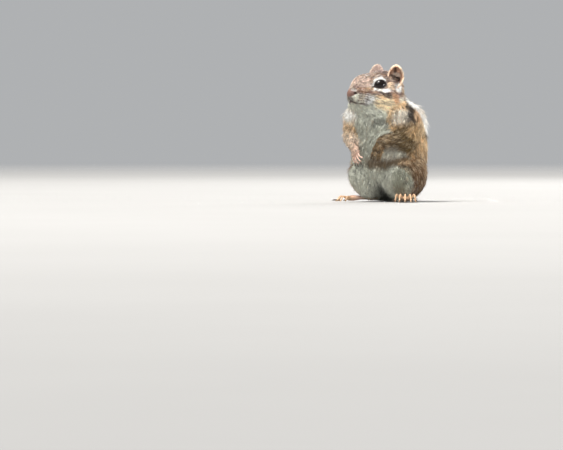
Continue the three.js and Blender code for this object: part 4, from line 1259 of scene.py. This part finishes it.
def tuftMesh(name, tufts, chosen):
    lines, flat, over, wide, colours, uv = (
        tufts[what][chosen] for what in ("lines", "flat", "over", "wide", "colours", "uv"))
    shares = tufts["shares"]
    count, rings = lines.shape[:2]
    corners = np.array([(-0.5, 0.0), (0.5, 0.0), (0.0, 1.0)])
    p = []
    for r, width in enumerate(np.interp(shares[:-1], *tuft["profile"])):
        half = (wide * width)[:, None]
        p += [lines[:, r] + flat * half * x + over * half * y * tuft["thick"] for x, y in corners]
    p = np.stack(p + [lines[:, -1]], 1)
    each, last = p.shape[1], 3 * (rings - 2)
    pattern = np.vstack([[(0, 2, 1)], gridFaces(rings - 1, 3),
                         [(last + k, last + (k + 1) % 3, each - 1) for k in range(3)]])
    faces = (np.arange(count)[:, None, None] * each + pattern[None]).reshape(-1, 3)
    rgb = np.concatenate([np.repeat(colours[:, :-1], 3, axis=1), colours[:, -1:]], 1).reshape(-1, 3)
    across = np.append(np.tile(corners[:, 0], rings - 1), 0) * tuft["patch"]
    along = (np.append(np.repeat(shares[:-1], 3), 1) - 0.5) * tuft["patch"]
    loopUv = (uv[:, None] + np.stack([across, along], 1)[None]).reshape(-1, 2)[faces.ravel()]
    return quickMesh(name, p.reshape(-1, 3), faces, uv=np.clip(loopUv, 0, 1), colours=rgb)


# Finishes

def noiseNode(tree, scale, detail, rough=0.55):
    node, place = tree.nodes.new("ShaderNodeTexNoise"), tree.nodes.new("ShaderNodeTexCoord")
    for name, value in (("Scale", scale), ("Detail", detail), ("Roughness", rough)):
        node.inputs[name].default_value = value
    tree.links.new(place.outputs["Object"], node.inputs["Vector"])
    return node.outputs["Fac"]


def spread(tree, value, *limits):
    # from the first two limits to the last two
    node = tree.nodes.new("ShaderNodeMapRange")
    for name, limit in zip(("From Min", "From Max", "To Min", "To Max"), limits):
        node.inputs[name].default_value = limit
    tree.links.new(value, node.inputs["Value"])
    return node


def multiplied(tree, colour, value):
    node = tree.nodes.new("ShaderNodeMix")
    node.data_type = "RGBA"
    node.blend_type = "MULTIPLY"
    node.inputs[0].default_value = 1.0
    tree.links.new(colour, node.inputs[6])
    tree.links.new(value, node.inputs[7])
    return node.outputs[2]


def finish(name, noises, values, tones=(), colours=(), roughness=None, bump=None):
    # the markings toned by noises, or two colours over the first noise, which also makes the roughness;
    # the bump follows the last noise
    material = bpy.data.materials.new(name)
    material.use_nodes = True
    tree = material.node_tree
    shader = tree.nodes["Principled BSDF"]
    grains = [noiseNode(tree, *settings) for settings in noises]
    if colours:
        layer = tree.nodes.new("ShaderNodeValToRGB")
        for element, colour in zip(layer.color_ramp.elements, colours):
            element.color = (*colour, 1)
        tree.links.new(grains[0], layer.inputs["Fac"])
        base = layer.outputs["Color"]
    else:
        # the colours read here carry the markings with their painted shade and light
        marks = tree.nodes.new("ShaderNodeAttribute")
        marks.attribute_name = "markingsAndShading"
        base = marks.outputs["Color"]
    for grain, tone in zip(grains, tones):
        base = multiplied(tree, base, spread(tree, grain, 0, 1, *tone).outputs["Result"])
    tree.links.new(base, shader.inputs["Base Color"])
    if roughness:
        rough = spread(tree, grains[0], 0, 1, *roughness)
        tree.links.new(rough.outputs["Result"], shader.inputs["Roughness"])
    if bump:
        node = tree.nodes.new("ShaderNodeBump")
        node.inputs["Distance"].default_value, node.inputs["Strength"].default_value = bump
        tree.links.new(grains[-1], node.inputs["Height"])
        tree.links.new(node.outputs["Normal"], shader.inputs["Normal"])
    for what, value in values.items():
        shader.inputs[what].default_value = value
    return material


def furFinish(name, roughness, sheen):
    values = {"Specular IOR Level": 0.35, "Sheen Weight": sheen, "Sheen Roughness": 0.4}
    return finish(name, ((900, 2), (160, 2)), values, tones=((0.78, 1.2), (0.9, 1.08)),
                  roughness=(roughness - 0.08, roughness + 0.1))


furMaterial = furFinish("coatHair", 0.62, 0.15)
tailMaterial = furFinish("tailHair", 0.55, 0.2)
whiskerMaterial = furFinish("whiskerHair", 0.4, 0.0)
skinMaterial = finish("skinUnderTheCoat", ((420, 3), (2600, 4, 0.6)), {"Specular IOR Level": 0.4},
                      tones=((0.82, 1.14),), roughness=(0.42, 0.62), bump=(0.00018, 0.6))
wet = {"Specular IOR Level": 0.12, "Coat Weight": 0.75, "Coat IOR": 1.33, "Coat Roughness": 0.02}
eyeMaterial = finish("wetEye", ((700, 3),), wet, colours=((0.002, 0.0015, 0.0015), (0.01, 0.006, 0.004)),
                     roughness=(0.05, 0.09))
hornMaterial = finish("clawHorn", ((1500, 4),), {}, colours=((0.018, 0.012, 0.009), (0.11, 0.075, 0.05)),
                      roughness=(0.25, 0.42), bump=(0.00006, 0.4))


# The skin piece

earMarks = [
    # shade, amount, middle (back, up), half sizes, as shares of the ear's inside
    # painted shadow in the hollows of the ear's cup
    ("earHollow", 0.85, (-0.15, 0.6), (0.24, 0.3)),
    ("cream", 0.5, (0.05, 0.2), (0.6, 0.2)),
    ("earHollow", 1.0, (0.1, -0.22), (0.6, 0.3)),
    ("white", 1.0, (0.2, -0.85), (0.8, 0.4)),
    ("earHollow", 0.85, (0.15, -0.72), (0.16, 0.26)),
]


def earColours(p, inside, side):
    centre, across, up, _ = earFrame(side)
    q = inHead(p) - centre
    back, high = q @ across * side / ear["halfWidth"], q @ up / ear["halfHeight"]
    wave = 0.12 * noise(p, 1.4, 23)
    inner = (inside > 0).astype(float)
    c = tint(plain(p, "earInside"), "crown", 1 - inner)
    for shade, amount, (b, h), (wide, tall) in earMarks:
        away = np.hypot((back - b) / wide, (high - h) / tall) + wave
        c = tint(c, shade, inner * amount * fall(away, 0.7, 1.15))
    c = tint(c, "earRim", ramp(np.abs(inside), 0.93, 1.0) * 0.9)
    return c * mottled(p, 0.1, 1.5, 5)


def handColours(p, dark):
    # the left hand's brown fur is painted in shade; the right hand is pink
    return plain(p, "leftHand" if dark else "flesh") * mottled(p, 0.12, 1.4, 6)


def footColours(p, foot):
    # pale toes, with painted shade on the skin between and behind them, deeper on the left foot
    beyond = (p - foot["ball"]) @ foot["ahead"]
    c = tint(handColours(p, False), "toe", ramp(beyond, -8, 4))
    c = tint(c, shades["flank"] * 0.8, fall(beyond, -12, -9))
    high = p[:, 2]
    onToes = np.where(beyond > 1, ramp(high, 0.3 * foot["arch"], 0.75 * foot["arch"]), ramp(high, 3.4, 4.4))
    onToes = np.maximum(onToes, ramp(beyond, 3.6, 5))
    # painted shade between and behind the toes
    return tint(c, "rim", ramp(beyond, -2.5, 0.5) * (1 - onToes) * (0.85 if foot["outside"] > 0 else 0.4))


random = np.random.default_rng(coatSeed)
lids, ears = ({side: make(sign) for side, sign in sides} for make in (makeLids, makeEar))
skinParts = [(bodyPoints, bodyFaces, bodyColour * 0.8, region[bodyFaces[:, 0]])]
firstFace = {}


def addSkin(name, points, faces, colours):
    firstFace[name] = sum(len(part[1]) for part in skinParts)
    number = len(regionNames) + len(skinParts) - 1
    skinParts.append((points, faces, colours, np.full(len(faces), number)))


for side, sign in sides:
    points, faces = lids[side]
    addSkin("lid_" + side, points, faces, plain(points, "rim"))
    points, faces, inside = ears[side]
    addSkin("ear_" + side, points, faces, earColours(points, inside, sign))
    points, faces = skins["hand_" + side]
    addSkin("hand_" + side, points, faces, handColours(points, side == "left"))
    points, faces = skins["foot_" + side]
    addSkin("foot_" + side, points, faces, footColours(points, feet[side]))
skinPoints, skinFaces = joined([part[:2] for part in skinParts])
skinColours, partOfFace = (np.concatenate([part[k] for part in skinParts]) for k in (2, 3))
chart, uvOf = layOut(skinPoints, skinFaces, partOfFace)
skinUv = uvOf(skinPoints[skinFaces.ravel()], np.repeat(chart, 3))
replacedNodes = regionNames + [f"{part}_{side}" for part in ("ear", "hand", "foot") for side, _ in sides]
placePiece(quickMesh("skin", skinPoints, skinFaces, skinUv, skinColours), skinMaterial, "bare_skin",
           *replacedNodes)
report(f"skin of {len(skinFaces)} triangles")


# The coat on the body, head, limbs and tail

thin = 1.0
axis = np.tile(arr(0, 0, 1), (len(bodyPoints), 1))
axis[kinds == "head"] = headTurn @ arr(0, 1, 0)
for side, _ in sides:
    arm = arms[side]
    axis[inNode("upper_arm_" + side) > 0] = unit(arm["elbow"] - arm["shoulder"])
    axis[inNode("forearm_" + side) > 0] = unit(arm["wrist"] - arm["elbow"])
axis[kinds == "tail"] = unit(tailLine[-1] - tailLine[1])
coated = {"points": bodyPoints, "faces": bodyFaces, "normals": normals, "way": way, "axis": axis,
          "colour": bodyColour, "ticked": bodyTicks, **hair}
furry = {**coated, "tree": bodyTree, "density": density * (1 - inNode("tail")) * thin}
tufts = growTufts(furry, random)
root = tufts["root"]
report(f"{len(root)} tufts on the body")
regionOfTuft = region[bodyFaces[tufts["face"], 0]]
compass = np.degrees(np.arctan2(root[:, 0] - 1, -(root[:, 1] - 2)))  # 0 in front, 90 on the left
sector = np.where(np.abs(compass) < 42, 0, np.where(np.abs(compass) > 128, 2, np.where(compass > 0, 1, 3)))
headHalf = np.where(inHead(root)[:, 0] > 0, 0, 1)
words = {"torso": (sector, ("front", "left", "back", "right")), "head": (headHalf, ("left", "right"))}
for k, name in enumerate(fleshNodes):
    number, parts = words.get(name, (np.zeros(len(root)), ("",)))
    for n, word in enumerate(parts):
        chosen = np.nonzero((regionOfTuft == k) & (number == n))[0]
        slot = "fur_belly" if word == "front" or "shin" in name else "fur_back"
        if len(chosen):
            placePiece(tuftMesh(f"coat_{name}_{word}".rstrip("_"), tufts, chosen), furMaterial, slot)
report("coat on the body")


def tailTips(even, middle, pick):
    frost = (pick > 0.35)[:, None]
    tip = np.where(frost, mix(even, shades["tailFrost"], 0.75), shades["darkTick"] * 1.2)
    return tip, mix(middle, shades["darkTick"], 0.55)


brush = {**coated, "density": density * inNode("tail") * thin}
hairs = growTufts(brush, random, steps=(0.3, 0.65), jitter=9, locks=0.35, tipShade=tailTips)
atBase = hairs["root"][:, 1] < 52
for name, own in (("coat_tail_base", atBase), ("coat_tail_end", ~atBase)):
    placePiece(tuftMesh(name, hairs, np.nonzero(own)[0]), tailMaterial, "fur_tail")
report(f"{len(atBase)} locks on the tail")


# Short hair on the ears, hands and feet

shortHair = {
    # length, rise, width, slot, how ticked
    "ear": ((1.25, 0.32, 0.2), "ear_skin", 0.35),
    "hand_left": ((1.9, 0.55, 0.26), "bare_skin", 0.5),
    "hand_right": ((1.25, 0.28, 0.17), "bare_skin", 0.5),
    "foot": ((1.0, 0.12, 0.15), "bare_skin", 0.35),
}


def shortCoat(name, points, faces, own, way, density, colour):
    sizes, slot, ticks = shortHair.get(name) or shortHair[name.split("_")[0]]
    values = {what: np.full(len(points), value) for what, value in zip(("length", "rise", "width"), sizes)}
    surface = {"points": points, "faces": faces, "normals": own, "way": way, "axis": way, "colour": colour,
               "ticked": ticks, "density": density * thin, "gather": np.full(len(points), 0.1), **values}
    made = growTufts(surface, random, firstFace[name], steps=(0.5,), jitter=16, rootShade=0.75)
    placePiece(tuftMesh("coat_" + name, made, np.arange(len(made["root"]))), furMaterial, slot)


for side, sign in sides:
    arm, foot, left = arms[side], feet[side], side == "left"
    points, faces, inside = ears[side]
    centre, _, up, _ = earFrame(sign)
    ways = unit(points - fromHead(centre - up * ear["halfHeight"] * 0.9))
    standing = np.where(inside < 0, 11.0, np.where(inside > 0.55, 6.0, 1.5))
    standing = np.where(np.abs(inside) > 0.93, 22.0, standing)
    tone = earColours(points, inside, sign) * np.where(np.abs(inside) > 0.9, 1.2, 1.05)[:, None]
    shortCoat("ear_" + side, points, faces, cornerNormals(points, faces), ways, standing, tone)

    points, faces = skins["hand_" + side]
    own = cornerNormals(points, faces)
    along = (points - arm["wrist"]) @ arm["ahead"]
    standing = 16 * ramp(-(own @ arm["inward"]), -0.35, 0.25) * fall(along, *((12, 15) if left else (8, 11)))
    tone = mix(shades["handFur"], shades["flesh"], ramp(along, 4, 11)[:, None])
    # the left hand's hair is painted in shade
    if left:
        tone = plain(points, "leftHand")
    shortCoat("hand_" + side, points, faces, own, np.tile(arm["ahead"], (len(points), 1)), standing, tone)

    points, faces = skins["foot_" + side]
    own = cornerNormals(points, faces)
    along = (points - foot["heel"]) @ foot["ahead"]
    onToes = along - np.linalg.norm((foot["ball"] - foot["heel"])[:2])
    standing = mix(12, 7, ramp(onToes, -1, 2.5)) * ramp(own[:, 2], -0.25, 0.3) * fall(onToes, 5, 7)
    tone = mix(shades["handFur"], footColours(points, foot), ramp(along, 0, 4)[:, None])
    shortCoat("foot_" + side, points, faces, own, np.tile(foot["ahead"], (len(points), 1)), standing, tone)
report("short coats")


# Eyes, claws and whiskers

def makeEyeball(side, rings=40, turns=64):
    gaze, back, up = eyeFrame(side)
    centre = mirrored(eye["centre"], side)
    b = np.linspace(0, 2 * np.pi, turns, endpoint=False)
    p = []
    for i in range(1, rings):
        a = math.pi * i / rings
        bulge = eye["radius"] * (1 + 0.05 * math.exp(-(a / 0.75) ** 2))
        p.append(centre + bulge * (gaze * math.cos(a)
                                   + (back * np.cos(b)[:, None] + up * np.sin(b)[:, None]) * math.sin(a)))
    p = fromHead(np.vstack(p + [centre + gaze * eye["radius"] * 1.05, centre - gaze * eye["radius"]]))
    return p, shellFaces(p, rings - 1, turns)


for side, sign in sides:
    placePiece(quickMesh("eyeball_" + side, *makeEyeball(sign)), eyeMaterial, "eye", "eye_" + side)
placePiece(quickMesh("claws", *joined(claws)), hornMaterial, "bare_skin")

whiskers = {"rows": 3, "perRow": 4, "seed": 5, "longest": 17.0, "thick": 0.075,
            "shape": ((0, 1), (0.3, 0.8), (0.8, 0.4)), "first": (6.5, -27.6, -8.2)}
hairRandom = np.random.default_rng(whiskers["seed"])
backward = arr(0, 1, -0.25) @ headTurn.T
radii = scaled(whiskers["shape"], whiskers["thick"]) + [(1, 0.02)]
threads = []
for _, sign in sides:
    for row in range(whiskers["rows"]):
        for k in range(whiskers["perRow"]):
            x, y, z = whiskers["first"]
            y = y + 1.5 * k + 0.3 * hairRandom.normal()
            z = z - 1.25 * row + 0.15 * hairRandom.normal()
            start = np.array(bodyTree.find_nearest(fromHead(arr(sign * x, y, z)).tolist())[0])
            long = whiskers["longest"] * (0.5 + 0.16 * k) * hairRandom.uniform(0.85, 1.1)
            down = -0.22 - 0.14 * row + 0.2 * hairRandom.normal() * 0.5
            out = unit(arr(sign * (1.0 + 0.1 * k), 0.35 + 0.22 * k, down)) @ headTurn.T
            line = [start - out * 0.5] + [start + out * long * share + backward * long * bend
                                          for share, bend in ((0.35, 0), (0.7, 0.07), (0.95, 0.22))]
            threads.append(tube(line, radii, arr(0, 0, 1), around=4))
points, faces = joined(threads)
tone = plain(points, "whisker")
placePiece(quickMesh("whiskers", points, faces, colours=tone), whiskerMaterial, "fur_back")
report("eyes, claws and whiskers")


# Floor, lights and camera

ground = {"reach": 6.0, "colours": ((0.385, 0.38, 0.37), (0.42, 0.415, 0.405)), "fades": (0.5, 4.5)}  # m
floorMaterial = finish("paleFloor", ((6, 4),), {"Roughness": 0.85}, colours=ground["colours"])
# far behind the model the floor fades into the plain background
tree = floorMaterial.node_tree
place, away = tree.nodes.new("ShaderNodeTexCoord"), tree.nodes.new("ShaderNodeVectorMath")
away.operation = "LENGTH"
tree.links.new(place.outputs["Object"], away.inputs[0])
fadeBegins, fadeEnds = ground["fades"]
fade = spread(tree, away.outputs["Value"], fadeBegins, fadeEnds, 1, 0)
fade.interpolation_type = "SMOOTHSTEP"
tree.links.new(fade.outputs["Result"], tree.nodes["Principled BSDF"].inputs["Alpha"])
floorMesh = bpy.data.meshes.new("floor")
corners = [(x * ground["reach"], y * ground["reach"], 0) for x, y in ((-1, -1), (1, -1), (1, 1), (-1, 1))]
floorMesh.from_pydata(corners, [], [(0, 1, 2, 3)])
floor = linked("floor", floorMesh)
floor.data.materials.append(floorMaterial)

view = {"azimuth": 22, "elevation": 1.5, "lens": 200, "sensor": 36, "mmPerPixel": 0.72, "base": (386, 201),
        "image": (563, 450)}
azimuth, elevation = math.radians(view["azimuth"]), math.radians(view["elevation"])
backward = arr(math.sin(azimuth) * math.cos(elevation), -math.cos(azimuth) * math.cos(elevation),
               math.sin(elevation))
rightward = arr(math.cos(azimuth), math.sin(azimuth), 0)
upward = np.cross(backward, rightward)
distance = view["image"][0] * view["mmPerPixel"] * view["lens"] / view["sensor"]
target = (rightward * (view["image"][0] / 2 - view["base"][0])
          + upward * (view["base"][1] - view["image"][1] / 2)) * view["mmPerPixel"]
camera = linked("camera", bpy.data.cameras.new("camera"))
camera.data.lens, camera.data.sensor_width, camera.data.clip_start = view["lens"], view["sensor"], 0.01
camera.location = Vector(((target + backward * distance + originShift) * 0.001).tolist())
camera.rotation_euler = Vector((-backward).tolist()).to_track_quat("-Z", "Y").to_euler()
bpy.context.scene.camera = camera

sun = bpy.data.lights.new("softSun", "SUN")
sun.energy, sun.angle, sun.color = 4.4, math.radians(18), (1.0, 0.965, 0.92)
fromSun = rightward * -0.34 + backward * 0.3 + arr(0, 0, 1)
linked("softSun", sun).rotation_euler = Vector(fromSun.tolist()).to_track_quat("Z", "Y").to_euler()

lamps = [
    # name, how far right, towards the camera and up (m), size, power, how wide it shines (degrees)
    ("front", (-0.95, 0.8, 1.4), 1.1, 18, 180),
    ("right", (1.6, 0.36, 0.14), 0.145, 0.16, 12),
    ("back", (0.5, -1.1, 0.9), 0.7, 9, 180),
]
for name, (right, near, high), size, power, wide in lamps:
    lamp = bpy.data.lights.new(name, "AREA")
    lamp.size, lamp.energy, lamp.spread = size, power, math.radians(wide)
    piece = linked(name, lamp)
    piece.location = (rightward * right + backward * arr(1, 1, 0) * near + arr(0, 0, high)).tolist()
    piece.rotation_euler = (piece.location - Vector((0, 0, 0.05))).to_track_quat("Z", "Y").to_euler()
world = bpy.data.worlds.new("softRoom")
world.use_nodes = True
room = world.node_tree.nodes["Background"].inputs
room["Color"].default_value, room["Strength"].default_value = (0.86, 0.88, 0.9, 1), 0.5
bpy.context.scene.world = world
bpy.context.scene.view_settings.view_transform = "Standard"

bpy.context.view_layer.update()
report("ready")
